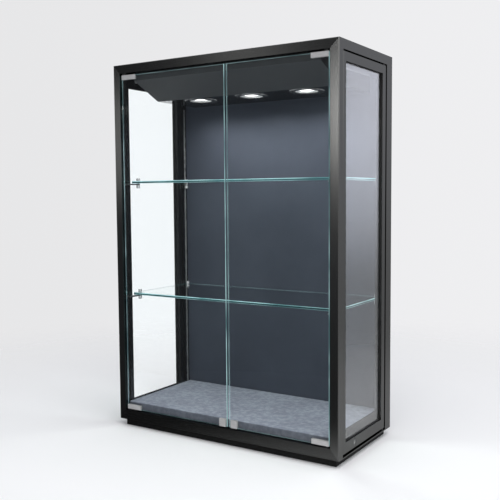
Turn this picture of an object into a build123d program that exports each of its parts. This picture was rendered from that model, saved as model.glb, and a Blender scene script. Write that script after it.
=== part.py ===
from build123d import *
import math
import os

# Wall display cabinet, in millimetres. The origin is the middle of the plinth's underside,
# the doors face -Y, +X is the viewer's right and +Z is up.
os.makedirs("parts", exist_ok=True)

# Outer frame
cabinet_width = 600.0
cabinet_depth = 280.0
frame_height = 864.0
post_width = 20.0
front_post_depth = 20.0
rear_post_depth = 32.0
top_rail_height = 20.5
bottom_rail_height = 24.5
profile_wall = 1.8
frame_bevel = 1.8
mitre_gap = 0.15
corner_key_leg = 46.0

# Clearances
slide_gap = 0.3
running_gap = 0.25
panel_play = 0.5
press_gap = 0.05

# Plinth, base and deck
plinth_height = 16.0
plinth_setback = 11.5
base_thickness = 6.0
sill_flange = 2.4
sill_upstand = 2.5
sill_height = 47.5
deck_setback = 16.0
deck_thickness = 18.0
felt_thickness = 1.5

# Back, top and light canopy
back_thickness = 5.0
back_inset = 18.0
back_groove_depth = 6.0
top_thickness = 4.0
top_drop = 1.0
stop_thickness = 2.5
stop_height = 48.0
stop_strip_width = 9.0
canopy_end_inset = 50.0
canopy_sheet = 1.2
canopy_drop = 78.5
canopy_nose_depth = 108.0
canopy_slope = 0.467
canopy_rear_drop = 22.0

# Downlights and driver
lamp_count = 3
lamp_spacing = 148.0
lamp_depth = 150.0
lamp_hole_radius = 34.5
bezel_radius = 40.0
bezel_bore_radius = 27.0
bezel_height = 1.8
reflector_rise = 2.0
reflector_wall = 1.5
lens_radius = 23.0
lens_thickness = 2.0
lamp_body_radius = 32.0
lamp_body_height = 24.0
lamp_fin_height = 14.0
lamp_fin_pitch = 6.0
lamp_fin_thickness = 1.6
driver_length = 120.0
driver_width = 42.0
driver_height = 22.0
driver_inset = 54.0
grommet_inset = 120.0
grommet_drop = 30.0
grommet_radius = 9.0
grommet_bore = 4.0
grommet_lip = 2.0

# Glass doors
door_glass = 5.0
door_setback = 3.6
door_edge_gap = 4.0
door_meeting_gap = 6.0
door_meeting_offset = 22.5
door_bottom_gap = 4.0
door_top_gap = 5.0
clip_length = 41.0
clip_height = 11.0
clip_plate = 1.3
clip_web = 1.0
pivot_inset = 6.0
pivot_pin_radius = 2.5
pivot_pin_depth = 7.0
bush_radius = 3.8
bush_wall_depth = 8.0
strike_width = 17.0
strike_height = 18.0
strike_inset = 4.0

# Push latches in the front edge of the deck
latch_radius = 5.0
latch_length = 34.0
latch_flange_radius = 6.5
latch_flange = 1.0
plunger_radius = 3.0
plunger_length = 20.0
plunger_travel = 3.0
spring_wall = 0.9

# Framed side panels; the right one is a door
panel_setback = 0.5
panel_thickness = 19.0
panel_front_gap = 1.5
panel_rear_gap = 5.0
panel_bottom_height = 7.6
panel_top_gap = 2.9
front_stile_width = 12.5
rear_stile_width = 18.0
panel_top_rail = 19.5
panel_bottom_rail = 23.5
panel_glass = 4.0
panel_glass_setback = 4.5
gasket_wall = 0.8
gasket_lip = 2.0
glass_engagement = 4.0
groove_depth = 5.5
panel_bevel = 0.8
side_pivot_setback = 5.5
side_pivot_inset = 3.5
side_pin_radius = 2.0
side_pin_depth = 5.0
side_bush_radius = 3.2
side_relief = 2.5
panel_screw_radius = 2.0
panel_screw_length = 10.0

# Cam lock in the side door
lock_depth = 80.0
lock_height = 19.3
lock_flange_radius = 9.0
lock_flange = 1.0
lock_body_radius = 5.5
lock_plug_radius = 4.0
key_slot_length = 6.0
key_slot_width = 1.2
key_slot_depth = 2.5
cam_thickness = 2.0
cam_length = 12.5
cam_width = 7.0

# Glass shelves on clamps
shelf_thickness = 6.0
lower_shelf_top = 313.0
upper_shelf_top = 588.0
shelf_setback = 37.0
shelf_rear_inset = 23.0
shelf_side_gap = 2.2
clamp_inset = 27.4
front_clamp_depth = 54.0
rear_clamp_inset = 30.0
clamp_pad = 0.8
clamp_pad_radius = 4.2
arm_thickness = 3.0
arm_width = 8.0
arm_foot = 5.5
stud_radius = 1.8
shelf_hole_radius = 3.0
knob_radius = 4.6
upper_knob_height = 6.0
lower_knob_height = 8.0
knob_rounding = 1.6
standard_thickness = 1.6
standard_width = 4.0
standard_inset = 27.0
standard_top_drop = 84.0
slot_pitch = 32.0
slot_length = 8.0
slot_width = 1.8

# Wall fixing through the rear rails
wall_hole_radius = 3.5
wall_hole_inset = 80.0
wall_hole_drop = 8.5
wall_hole_rise = 10.0

# Main planes worked out from the sizes above
x_out = cabinet_width / 2
x_in = x_out - post_width
y_front = -cabinet_depth / 2
y_rear = cabinet_depth / 2
y_front_back = y_front + front_post_depth
y_rear_post = y_rear - rear_post_depth
z_frame = plinth_height
z_top = z_frame + frame_height
z_head = z_top - top_rail_height
z_sill = z_frame + bottom_rail_height
side_rail_length = y_rear_post - y_front_back
z_deck = z_sill + deck_thickness
y_deck = y_front + deck_setback
y_back = y_rear - back_inset
x_upstand = x_in - sill_upstand
z_canopy = z_top - canopy_drop


def facing_front(y):
    """Plane at depth y seen from the front: its x is X and its y is Z; it extrudes forward."""
    return Plane.XZ.offset(-y)


def facing_right(x):
    """Plane at x seen from the right: its x is Y and its y is Z; it extrudes to the right."""
    return Plane.YZ.offset(x)


def centre_and_size(low, high):
    """Middle and length of a span."""
    return (low + high) / 2, high - low


def write_step(piece, name):
    """Label a finished piece and write its STEP file."""
    piece.part.label = name
    export_step(piece.part, f"parts/{name}.step")


# Front frame: one hollow ring, cut into four members at the mitres
frame_mid = (z_frame + z_top) / 2
opening_mid, opening_height = centre_and_size(z_sill, z_head)
with BuildPart() as front_frame:
    with BuildSketch(facing_front(y_front_back)):
        with Locations((0, frame_mid)):
            Rectangle(cabinet_width, frame_height)
    extrude(amount=front_post_depth)
    chamfer(front_frame.faces().sort_by(Axis.Y)[0].edges(), frame_bevel)
    with BuildSketch(facing_front(y_front_back)):
        with Locations((0, opening_mid)):
            Rectangle(2 * x_in, opening_height)
    extrude(amount=front_post_depth, mode=Mode.SUBTRACT)
    with BuildSketch(facing_front(y_front_back - profile_wall)):
        with Locations((0, frame_mid)):
            Rectangle(cabinet_width - 2 * profile_wall, frame_height - 2 * profile_wall)
        with Locations((0, opening_mid)):
            Rectangle(2 * (x_in + profile_wall), opening_height + 2 * profile_wall, mode=Mode.SUBTRACT)
    extrude(amount=front_post_depth - 2 * profile_wall, mode=Mode.SUBTRACT)


def front_member(corners):
    """Cut one mitred member out of the front frame."""
    with BuildPart() as member:
        add(front_frame.part)
        with BuildSketch(facing_front(y_front_back)):
            with BuildLine():
                Polyline(*corners, close=True)
            make_face()
        extrude(amount=front_post_depth, mode=Mode.INTERSECT)
    return member


# Door pivots in the front rails
door_pivot_y = y_front + door_setback + door_glass / 2
z_door_bottom = z_sill + door_bottom_gap
z_door_top = z_head - door_top_gap
left_pivot_x = -x_in + door_edge_gap + pivot_inset
right_pivot_x = x_in - door_edge_gap - pivot_inset
pivot_places = [(left_pivot_x, door_pivot_y), (right_pivot_x, door_pivot_y)]

for side, name in ((-1, "front_left_post"), (1, "front_right_post")):
    front_post = front_member([
        (side * x_out, z_frame),
        (side * x_out, z_top),
        (side * x_in, z_head),
        (side * x_in, z_sill),
    ])
    write_step(front_post, name)

for z_edge, z_inside, name in ((z_top, z_head, "front_top_rail"), (z_frame, z_sill, "front_bottom_rail")):
    front_rail = front_member([
        (-x_out + mitre_gap, z_edge),
        (x_out - mitre_gap, z_edge),
        (x_in - mitre_gap, z_inside),
        (-x_in + mitre_gap, z_inside),
    ])
    towards_edge = math.copysign(1, z_edge - z_inside)
    with BuildPart() as rail_with_bores:
        add(front_rail.part)
        with BuildSketch(Plane.XY.offset(z_inside)):
            with Locations(*pivot_places):
                Circle(bush_radius + slide_gap)
        extrude(amount=towards_edge * bush_wall_depth, mode=Mode.SUBTRACT)
    write_step(rail_with_bores, name)

# Corner keys inside the front frame, bored for the door pivots
key_gap = profile_wall + slide_gap
key_depth = front_post_depth - profile_wall - key_gap
with BuildPart() as front_corner_keys:
    for side in (-1, 1):
        for z_edge, z_inside in ((z_top, z_head), (z_frame, z_sill)):
            inward = math.copysign(1, z_inside - z_edge)
            post_mid, post_size = centre_and_size(x_in + key_gap, x_out - key_gap)
            leg_mid, leg_size = centre_and_size(x_out - corner_key_leg, x_out - key_gap)
            rail_mid, rail_size = centre_and_size(z_edge + inward * key_gap, z_inside - inward * key_gap)
            tall_mid, tall_size = centre_and_size(z_edge + inward * key_gap, z_edge + inward * corner_key_leg)
            with BuildSketch(facing_front(y_front_back - profile_wall)):
                with Locations((side * post_mid, tall_mid)):
                    Rectangle(post_size, abs(tall_size))
                with Locations((side * leg_mid, rail_mid)):
                    Rectangle(leg_size, abs(rail_size))
            extrude(amount=key_depth)
    with BuildSketch(Plane.XY.offset(z_frame)):
        with Locations(*pivot_places):
            Circle(bush_radius + 3 * slide_gap)
    extrude(amount=frame_height, mode=Mode.SUBTRACT)
write_step(front_corner_keys, "front_corner_keys")

# Rear posts: hollow with capped ends, and a groove for the back panel
chamber_width = post_width - 2 * profile_wall - back_groove_depth
chamber_mid = x_out - profile_wall - chamber_width / 2
groove_width = back_thickness + 2 * slide_gap
groove_mid = y_back + back_thickness / 2
for side, name in ((-1, "rear_left_post"), (1, "rear_right_post")):
    with BuildPart() as rear_post:
        with BuildSketch(Plane.XY.offset(z_frame)):
            with Locations((side * (x_out - post_width / 2), y_rear - rear_post_depth / 2)):
                Rectangle(post_width, rear_post_depth)
        extrude(amount=frame_height)
        with BuildSketch(Plane.XY.offset(z_frame + profile_wall)):
            with Locations((side * chamber_mid, y_rear - rear_post_depth / 2)):
                Rectangle(chamber_width, rear_post_depth - 2 * profile_wall)
        extrude(amount=frame_height - 2 * profile_wall, mode=Mode.SUBTRACT)
        with BuildSketch(Plane.XY.offset(z_sill - back_groove_depth)):
            with Locations((side * (x_in + back_groove_depth / 2), groove_mid)):
                Rectangle(back_groove_depth, groove_width)
        extrude(amount=z_head - z_sill + 2 * back_groove_depth, mode=Mode.SUBTRACT)
        outer_edges = rear_post.edges().filter_by(Axis.Z).group_by(Axis.Y)[-1]
        chamfer(outer_edges.sort_by(Axis.X)[0 if side < 0 else -1], frame_bevel)
    write_step(rear_post, name)

# Rear rails between the posts, with the same groove and the wall screw holes
wall_hole_x = x_out - wall_hole_inset
for z_edge, z_inside, hole_inset, name in (
    (z_top, z_head, wall_hole_drop, "rear_top_rail"),
    (z_frame, z_sill, wall_hole_rise, "rear_bottom_rail"),
):
    inward = math.copysign(1, z_inside - z_edge)
    rail_mid, rail_size = centre_and_size(z_edge, z_inside)
    cavity_mid, cavity_size = centre_and_size(
        z_edge + inward * profile_wall,
        z_inside - inward * (back_groove_depth + profile_wall),
    )
    with BuildPart() as rear_rail:
        with BuildSketch(facing_right(-x_in)):
            with Locations((y_rear - rear_post_depth / 2, rail_mid)):
                Rectangle(rear_post_depth, abs(rail_size))
            with Locations((y_rear - rear_post_depth / 2, cavity_mid)):
                Rectangle(rear_post_depth - 2 * profile_wall, abs(cavity_size), mode=Mode.SUBTRACT)
            with Locations((groove_mid, z_inside - inward * back_groove_depth / 2)):
                Rectangle(groove_width, back_groove_depth, mode=Mode.SUBTRACT)
        extrude(amount=2 * x_in)
        with BuildSketch(facing_front(y_rear)):
            with Locations(*[(side * wall_hole_x, z_edge + inward * hole_inset) for side in (-1, 1)]):
                Circle(wall_hole_radius)
        extrude(amount=rear_post_depth, mode=Mode.SUBTRACT)
    write_step(rear_rail, name)

# Side door pivot, close to the outer rear edge so that the door clears the frame
x_panel_out = x_out - panel_setback
x_panel_in = x_panel_out - panel_thickness
y_panel_front = y_front_back + panel_front_gap
y_panel_rear = y_rear_post - panel_rear_gap
z_panel_bottom = z_frame + panel_bottom_height
z_panel_top = z_head - panel_top_gap
side_pivot_x = x_out - side_pivot_setback
side_pivot_y = y_panel_rear - side_pivot_inset

# Screw positions of the fixed left panel: through the sill below and the panel stop above
z_stop_top = z_top - top_drop - top_thickness
z_stop_low = z_stop_top - stop_height
panel_mid_y = (y_front_back + y_rear_post) / 2
screw_span = side_rail_length / 3
low_screws = [(panel_mid_y + i * screw_span, z_panel_bottom + panel_bottom_rail / 3) for i in (-1, 0, 1)]
high_screws = [(panel_mid_y + i * screw_span, z_panel_top - panel_top_rail / 2) for i in (-1, 0, 1)]

# Side top rails between the posts
for side, name in ((-1, "left_top_rail"), (1, "right_top_rail")):
    with BuildPart() as side_rail:
        rail_mid, rail_size = centre_and_size(z_head, z_top)
        with BuildSketch(facing_front(y_rear_post)):
            with Locations((side * (x_out - post_width / 2), rail_mid)):
                Rectangle(post_width, rail_size)
                Rectangle(post_width - 2 * profile_wall, rail_size - 2 * profile_wall, mode=Mode.SUBTRACT)
        extrude(amount=side_rail_length)
        if side > 0:
            with BuildSketch(Plane.XY.offset(z_head)):
                with Locations((side_pivot_x, side_pivot_y)):
                    Circle(side_bush_radius + slide_gap)
            extrude(amount=2 * profile_wall, mode=Mode.SUBTRACT)
    write_step(side_rail, name)

# Angle sills that carry the side panels; the right one is cut for the lock cam and the pivot
z_lock = z_frame + lock_height
y_lock = y_front + lock_depth
for side, name in ((-1, "left_sill"), (1, "right_sill")):
    with BuildPart() as sill:
        with BuildSketch(facing_front(y_rear_post)):
            with BuildLine():
                Polyline(
                    (side * x_out, z_frame),
                    (side * x_upstand, z_frame),
                    (side * x_upstand, z_frame + sill_height),
                    (side * x_in, z_frame + sill_height),
                    (side * x_in, z_frame + sill_flange),
                    (side * x_out, z_frame + sill_flange),
                    close=True,
                )
            make_face()
        extrude(amount=side_rail_length)
        if side > 0:
            slot_radius = lock_body_radius + 3 * slide_gap
            with BuildSketch(facing_right(x_upstand)):
                with Locations((y_lock, z_lock)):
                    Circle(slot_radius)
                slot_mid, slot_size = centre_and_size(y_lock, y_lock + cam_length + 3 * panel_play)
                with Locations((slot_mid, z_lock)):
                    Rectangle(slot_size, cam_width + 4 * panel_play)
            extrude(amount=sill_upstand, mode=Mode.SUBTRACT)
            with BuildSketch(Plane.XY.offset(z_frame)):
                with Locations((side_pivot_x, side_pivot_y)):
                    Circle(side_bush_radius + slide_gap)
            extrude(amount=sill_flange, mode=Mode.SUBTRACT)
        else:
            with BuildSketch(facing_right(-x_in)):
                with Locations(*low_screws):
                    Circle(panel_screw_radius + slide_gap)
            extrude(amount=sill_upstand, mode=Mode.SUBTRACT)
    write_step(sill, name)

# Panel stops: strips inside each side panel that close the gaps at its top, front and rear edges
with BuildPart() as panel_stops:
    with BuildSketch(facing_front(y_rear_post)):
        for side in (-1, 1):
            with Locations((side * (x_in - stop_thickness / 2), z_stop_low + stop_height / 2)):
                Rectangle(stop_thickness, stop_height)
    extrude(amount=side_rail_length)
    with BuildSketch(facing_right(-x_in)):
        with Locations(*high_screws):
            Circle(panel_screw_radius + slide_gap)
    extrude(amount=stop_thickness, mode=Mode.SUBTRACT)
    with BuildSketch(Plane.XY.offset(z_frame + sill_height)):
        for side in (-1, 1):
            for end in (y_front_back + stop_strip_width / 2, y_rear_post - stop_strip_width / 2):
                with Locations((side * (x_in - standard_thickness / 2), end)):
                    Rectangle(standard_thickness, stop_strip_width)
    extrude(amount=z_stop_low - z_frame - sill_height)
write_step(panel_stops, "panel_stops")

# Plinth board, base panel and top panel
with BuildPart() as plinth_board:
    with BuildSketch():
        Rectangle(cabinet_width - 2 * plinth_setback, cabinet_depth - 2 * plinth_setback)
    extrude(amount=plinth_height)
    chamfer(plinth_board.edges().filter_by(Axis.Z), panel_play)
write_step(plinth_board, "plinth_board")

with BuildPart() as base_panel:
    with BuildSketch(Plane.XY.offset(z_frame)):
        with Locations((0, panel_mid_y)):
            Rectangle(2 * (x_upstand - slide_gap), side_rail_length - 2 * slide_gap)
    extrude(amount=base_thickness)
write_step(base_panel, "base_panel")

with BuildPart() as top_panel:
    with BuildSketch(Plane.XY.offset(z_stop_top)):
        with Locations((0, panel_mid_y)):
            Rectangle(2 * (x_in - slide_gap), side_rail_length - 2 * slide_gap)
    extrude(amount=top_thickness)
write_step(top_panel, "top_panel")

# Back panel in the grooves of the rear frame, with the cable hole
grommet_x = x_out - grommet_inset
z_grommet = z_head - grommet_drop
back_low = z_sill - back_groove_depth
back_high = z_head + back_groove_depth - slide_gap
back_mid, back_height = centre_and_size(back_low, back_high)
with BuildPart() as back_panel:
    with BuildSketch(facing_front(y_back + back_thickness)):
        with Locations((0, back_mid)):
            Rectangle(2 * (x_in + back_groove_depth - slide_gap), back_height)
        with Locations((grommet_x, z_grommet)):
            Circle(grommet_radius - grommet_lip + slide_gap, mode=Mode.SUBTRACT)
    extrude(amount=back_thickness)
write_step(back_panel, "back_panel")

# Deck board on the rails, bored for the latches, and its felt cover
strike_places = [
    door_meeting_offset - door_meeting_gap / 2 - strike_inset - strike_width / 2,
    door_meeting_offset + door_meeting_gap / 2 + strike_inset + strike_width / 2,
]
z_latch = z_sill + deck_thickness / 2
deck_width = 2 * (x_upstand - panel_play)
deck_mid, deck_depth = centre_and_size(y_deck, y_back - panel_play)
latch_points = [(x, z_latch) for x in strike_places]
with BuildPart() as deck_board:
    with BuildSketch(Plane.XY.offset(z_sill)):
        with Locations((0, deck_mid)):
            Rectangle(deck_width, deck_depth)
    extrude(amount=deck_thickness)
    with BuildSketch(facing_front(y_deck + latch_length + slide_gap)):
        with Locations(*latch_points):
            Circle(latch_radius + slide_gap)
    extrude(amount=latch_length + slide_gap, mode=Mode.SUBTRACT)
write_step(deck_board, "deck_board")

with BuildPart() as deck_felt:
    with BuildSketch(facing_right(-deck_width / 2)):
        with BuildLine():
            Polyline(
                (y_deck - felt_thickness, z_sill + panel_play),
                (y_deck, z_sill + panel_play),
                (y_deck, z_deck),
                (y_back - panel_play, z_deck),
                (y_back - panel_play, z_deck + felt_thickness),
                (y_deck - felt_thickness, z_deck + felt_thickness),
                close=True,
            )
        make_face()
    extrude(amount=deck_width)
    fold_edges = deck_felt.edges().filter_by(Axis.X).group_by(Axis.Z)[-1]
    fillet(fold_edges.sort_by(Axis.Y)[0], felt_thickness - panel_play)
    with BuildSketch(facing_front(y_deck)):
        with Locations(*latch_points):
            Circle(latch_radius + slide_gap)
    extrude(amount=felt_thickness, mode=Mode.SUBTRACT)
write_step(deck_felt, "deck_felt")

# Light canopy: one folded and welded sheet, open at the top, with three lamp holes
canopy_width = cabinet_width - 2 * canopy_end_inset
canopy_front = y_front_back
canopy_nose = y_front + canopy_nose_depth
canopy_brow = z_canopy + canopy_slope * (canopy_nose - canopy_front)
canopy_rear = y_back
lamp_y = y_front + lamp_depth
lamp_places = [((i - (lamp_count - 1) / 2) * lamp_spacing, lamp_y) for i in range(lamp_count)]
with BuildPart() as light_canopy:
    with BuildSketch(facing_right(-canopy_width / 2)):
        with BuildLine():
            Polyline(
                (canopy_front, z_stop_top - slide_gap),
                (canopy_front, canopy_brow),
                (canopy_nose, z_canopy),
                (canopy_rear, z_canopy),
                (canopy_rear, z_top - canopy_rear_drop),
                close=True,
            )
        make_face()
    extrude(amount=canopy_width)
    lid_face = light_canopy.faces().sort_by(Axis.Z)[-1]
    offset(amount=-canopy_sheet, openings=lid_face, kind=Kind.INTERSECTION)
    with BuildSketch(Plane.XY.offset(z_canopy)):
        with Locations(*lamp_places):
            Circle(lamp_hole_radius)
    extrude(amount=canopy_sheet, mode=Mode.SUBTRACT)
    with BuildSketch(facing_front(canopy_rear)):
        with Locations((grommet_x, z_grommet)):
            Circle(grommet_radius + slide_gap)
    extrude(amount=canopy_sheet, mode=Mode.SUBTRACT)
write_step(light_canopy, "light_canopy")

# Downlights: bezel under the sheet, reflector, lens and finned body above it
with BuildPart() as downlight_bezels:
    with BuildSketch(Plane.XY.offset(z_canopy)):
        with Locations(*lamp_places):
            Circle(bezel_radius)
            Circle(bezel_bore_radius, mode=Mode.SUBTRACT)
    extrude(amount=-bezel_height)
    rim_edges = downlight_bezels.faces().filter_by(Axis.Z).group_by(Axis.Z)[0].edges()
    fillet(rim_edges, bezel_height / 2.5)
write_step(downlight_bezels, "downlight_bezels")

reflector_top = lens_radius + reflector_wall
with BuildPart() as downlight_reflectors:
    for lamp_x, lamp_row in lamp_places:
        with Locations((lamp_x, lamp_row, z_canopy)):
            Cone(
                bezel_bore_radius + reflector_wall,
                reflector_top,
                reflector_rise,
                align=(Align.CENTER, Align.CENTER, Align.MIN),
            )
    for lamp_x, lamp_row in lamp_places:
        with Locations((lamp_x, lamp_row, z_canopy)):
            Cone(
                bezel_bore_radius,
                lens_radius,
                reflector_rise,
                align=(Align.CENTER, Align.CENTER, Align.MIN),
                mode=Mode.SUBTRACT,
            )
write_step(downlight_reflectors, "downlight_reflectors")

z_lens = z_canopy + reflector_rise
with BuildPart() as downlight_lenses:
    with BuildSketch(Plane.XY.offset(z_lens)):
        with Locations(*lamp_places):
            Circle(reflector_top)
    extrude(amount=lens_thickness)
write_step(downlight_lenses, "downlight_lenses")

fin_count = int(2 * lamp_body_radius / lamp_fin_pitch)
with BuildPart() as downlight_bodies:
    z_body = z_lens + lens_thickness
    with BuildSketch(Plane.XY.offset(z_body)):
        with Locations(*lamp_places):
            Circle(lamp_body_radius)
    extrude(amount=lamp_body_height)
    fin_gap = lamp_fin_pitch - lamp_fin_thickness
    with BuildSketch(Plane.XY.offset(z_body + lamp_body_height - lamp_fin_height)):
        for lamp_x, lamp_row in lamp_places:
            with Locations((lamp_x, lamp_row)):
                with GridLocations(lamp_fin_pitch, 0, fin_count, 1):
                    Rectangle(fin_gap, 2.2 * lamp_body_radius)
    extrude(amount=lamp_fin_height, mode=Mode.SUBTRACT)
write_step(downlight_bodies, "downlight_bodies")

with BuildPart() as led_driver:
    with BuildSketch(Plane.XY.offset(z_canopy + canopy_sheet)):
        with Locations((0, y_rear - driver_inset)):
            RectangleRounded(driver_length, driver_width, 3 * panel_play)
    extrude(amount=driver_height)
    chamfer(led_driver.faces().sort_by(Axis.Z)[-1].edges(), panel_play)
write_step(led_driver, "led_driver")

with BuildPart() as cable_grommet:
    with BuildSketch(facing_front(y_back + back_thickness)):
        with Locations((grommet_x, z_grommet)):
            Circle(grommet_radius - grommet_lip)
    extrude(amount=back_thickness)
    for face_y in (y_back + back_thickness + grommet_lip, y_back):
        with BuildSketch(facing_front(face_y)):
            with Locations((grommet_x, z_grommet)):
                Circle(grommet_radius)
        extrude(amount=grommet_lip)
    with BuildSketch(facing_front(y_back + back_thickness + grommet_lip)):
        with Locations((grommet_x, z_grommet)):
            Circle(grommet_bore)
    extrude(amount=back_thickness + 2 * grommet_lip, mode=Mode.SUBTRACT)
write_step(cable_grommet, "cable_grommet")

# Glass shelves, drilled for the clamp studs
clamp_x = x_out - clamp_inset
clamp_rows = [y_front + front_clamp_depth, y_rear - rear_clamp_inset]
clamp_places = [(side * clamp_x, row) for side in (-1, 1) for row in clamp_rows]
shelf_tops = [z_frame + lower_shelf_top, z_frame + upper_shelf_top]
shelf_mid, shelf_depth = centre_and_size(y_front + shelf_setback, y_rear - shelf_rear_inset)
for z_shelf, name in zip(shelf_tops, ("lower_shelf", "upper_shelf")):
    with BuildPart() as shelf:
        with BuildSketch(Plane.XY.offset(z_shelf - shelf_thickness)):
            with Locations((0, shelf_mid)):
                Rectangle(2 * (x_in - shelf_side_gap), shelf_depth)
        extrude(amount=shelf_thickness)
        chamfer(shelf.edges().group_by(Axis.Z)[0] + shelf.edges().group_by(Axis.Z)[-1], panel_play)
        with BuildSketch(Plane.XY.offset(z_shelf)):
            with Locations(*clamp_places):
                Circle(shelf_hole_radius)
        extrude(amount=-shelf_thickness, mode=Mode.SUBTRACT)
    write_step(shelf, name)

# Slotted standards on the rear posts
y_standard = y_rear - standard_inset
z_felt = z_deck + felt_thickness
z_standard_top = z_top - standard_top_drop
slot_count = int((z_standard_top - z_felt) / slot_pitch) - 1
with BuildPart() as shelf_standards:
    for side in (-1, 1):
        standard_mid, standard_height = centre_and_size(z_felt + slide_gap, z_standard_top)
        low_face = min(side * x_in, side * (x_in - standard_thickness))
        with BuildSketch(facing_right(low_face)):
            with Locations((y_standard, standard_mid)):
                Rectangle(standard_width, standard_height)
                with GridLocations(0, slot_pitch, 1, slot_count):
                    Rectangle(slot_width, slot_length, mode=Mode.SUBTRACT)
        extrude(amount=standard_thickness)
write_step(shelf_standards, "shelf_standards")

# Arms under the shelf corners: long ones from the front posts, short ones from the standards
clamp_pad_drop = shelf_thickness + clamp_pad
y_arm_front = y_front_back - arm_foot
with BuildPart() as shelf_arms:
    for z_shelf in shelf_tops:
        z_arm_top = z_shelf - clamp_pad_drop
        front_mid, front_size = centre_and_size(y_arm_front, clamp_rows[0])
        with BuildSketch(Plane.XY.offset(z_arm_top)):
            for side in (-1, 1):
                with Locations((side * clamp_x, front_mid)):
                    Rectangle(arm_width, front_size)
                with Locations((side * clamp_x, clamp_rows[0])):
                    Circle(arm_width / 2)
                foot_mid, foot_size = centre_and_size(clamp_x, x_in)
                with Locations((side * foot_mid, y_arm_front + arm_foot / 2)):
                    Rectangle(foot_size, arm_foot)
                lug_mid, lug_size = centre_and_size(clamp_x, x_in - standard_thickness)
                with Locations((side * lug_mid, clamp_rows[1])):
                    Rectangle(lug_size, arm_width)
                with Locations((side * clamp_x, clamp_rows[1])):
                    Circle(arm_width / 2)
            with Locations(*clamp_places):
                Circle(stud_radius + running_gap, mode=Mode.SUBTRACT)
        extrude(amount=-arm_thickness)
write_step(shelf_arms, "shelf_arms")

with BuildPart() as shelf_pads:
    for z_shelf in shelf_tops:
        for z_pad in (z_shelf, z_shelf - clamp_pad_drop):
            with BuildSketch(Plane.XY.offset(z_pad)):
                with Locations(*clamp_places):
                    Circle(clamp_pad_radius)
                    Circle(stud_radius + running_gap, mode=Mode.SUBTRACT)
            extrude(amount=clamp_pad)
write_step(shelf_pads, "shelf_pads")

lower_knob_drop = clamp_pad_drop + arm_thickness
with BuildPart() as shelf_clamp_screws:
    for z_shelf in shelf_tops:
        with BuildSketch(Plane.XY.offset(z_shelf + clamp_pad)):
            with Locations(*clamp_places):
                Circle(knob_radius)
        extrude(amount=upper_knob_height)
    knob_tops = shelf_clamp_screws.faces().filter_by(Axis.Z).group_by(Axis.Z)
    fillet(knob_tops[1].edges() + knob_tops[3].edges(), knob_rounding)
    for z_shelf in shelf_tops:
        with BuildSketch(Plane.XY.offset(z_shelf + clamp_pad)):
            with Locations(*clamp_places):
                Circle(stud_radius)
        extrude(amount=-(clamp_pad + lower_knob_drop + lower_knob_height / 2))
write_step(shelf_clamp_screws, "shelf_clamp_screws")

with BuildPart() as shelf_clamp_knobs:
    for z_shelf in shelf_tops:
        with BuildSketch(Plane.XY.offset(z_shelf - lower_knob_drop)):
            with Locations(*clamp_places):
                Circle(knob_radius)
        extrude(amount=-lower_knob_height)
    knob_faces = shelf_clamp_knobs.faces().filter_by(Axis.Z).group_by(Axis.Z)
    fillet(knob_faces[0].edges() + knob_faces[2].edges(), knob_rounding)
    for z_shelf in shelf_tops:
        with BuildSketch(Plane.XY.offset(z_shelf - lower_knob_drop)):
            with Locations(*clamp_places):
                Circle(stud_radius + running_gap / 2)
        extrude(amount=-(lower_knob_height / 2 + slide_gap), mode=Mode.SUBTRACT)
write_step(shelf_clamp_knobs, "shelf_clamp_knobs")

# Side panels: one grooved ring per side, cut into four members at the mitres
y_sight_front = y_panel_front + front_stile_width
y_sight_rear = y_panel_rear - rear_stile_width
z_sight_low = z_panel_bottom + panel_bottom_rail
z_sight_high = z_panel_top - panel_top_rail
sight_y_mid, sight_y = centre_and_size(y_sight_front, y_sight_rear)
sight_z_mid, sight_z = centre_and_size(z_sight_low, z_sight_high)
x_glass_out = x_panel_out - panel_glass_setback
x_glass_in = x_glass_out - panel_glass


def low_plane(side, near, far):
    """Plane at the lower x of a slab between two distances from the middle, and its thickness."""
    return facing_right(min(side * near, side * far)), far - near


def side_ring(side):
    """The whole frame of one side panel, grooved for its glass and gasket."""
    with BuildPart() as ring:
        plane, thickness = low_plane(side, x_panel_in, x_panel_out)
        panel_y_mid, panel_y = centre_and_size(y_panel_front, y_panel_rear)
        panel_z_mid, panel_z = centre_and_size(z_panel_bottom, z_panel_top)
        with BuildSketch(plane):
            with Locations((panel_y_mid, panel_z_mid)):
                Rectangle(panel_y, panel_z)
        extrude(amount=thickness)
        outer_face = ring.faces().sort_by(Axis.X)[-1 if side > 0 else 0]
        chamfer(outer_face.edges(), panel_bevel)
        with BuildSketch(plane):
            with Locations((sight_y_mid, sight_z_mid)):
                Rectangle(sight_y, sight_z)
        extrude(amount=thickness, mode=Mode.SUBTRACT)
        groove_plane, groove_size = low_plane(side, x_glass_in - gasket_wall, x_glass_out + gasket_wall)
        with BuildSketch(groove_plane):
            with Locations((sight_y_mid, sight_z_mid)):
                Rectangle(sight_y + 2 * groove_depth, sight_z + 2 * groove_depth)
        extrude(amount=groove_size, mode=Mode.SUBTRACT)
    return ring.part


def side_member(ring, side, corners):
    """Cut one mitred member out of a side panel's ring."""
    with BuildPart() as member:
        add(ring)
        plane, thickness = low_plane(side, x_panel_in, x_panel_out)
        with BuildSketch(plane):
            with BuildLine():
                Polyline(*corners, close=True)
            make_face()
        extrude(amount=thickness, mode=Mode.INTERSECT)
    return member


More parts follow.
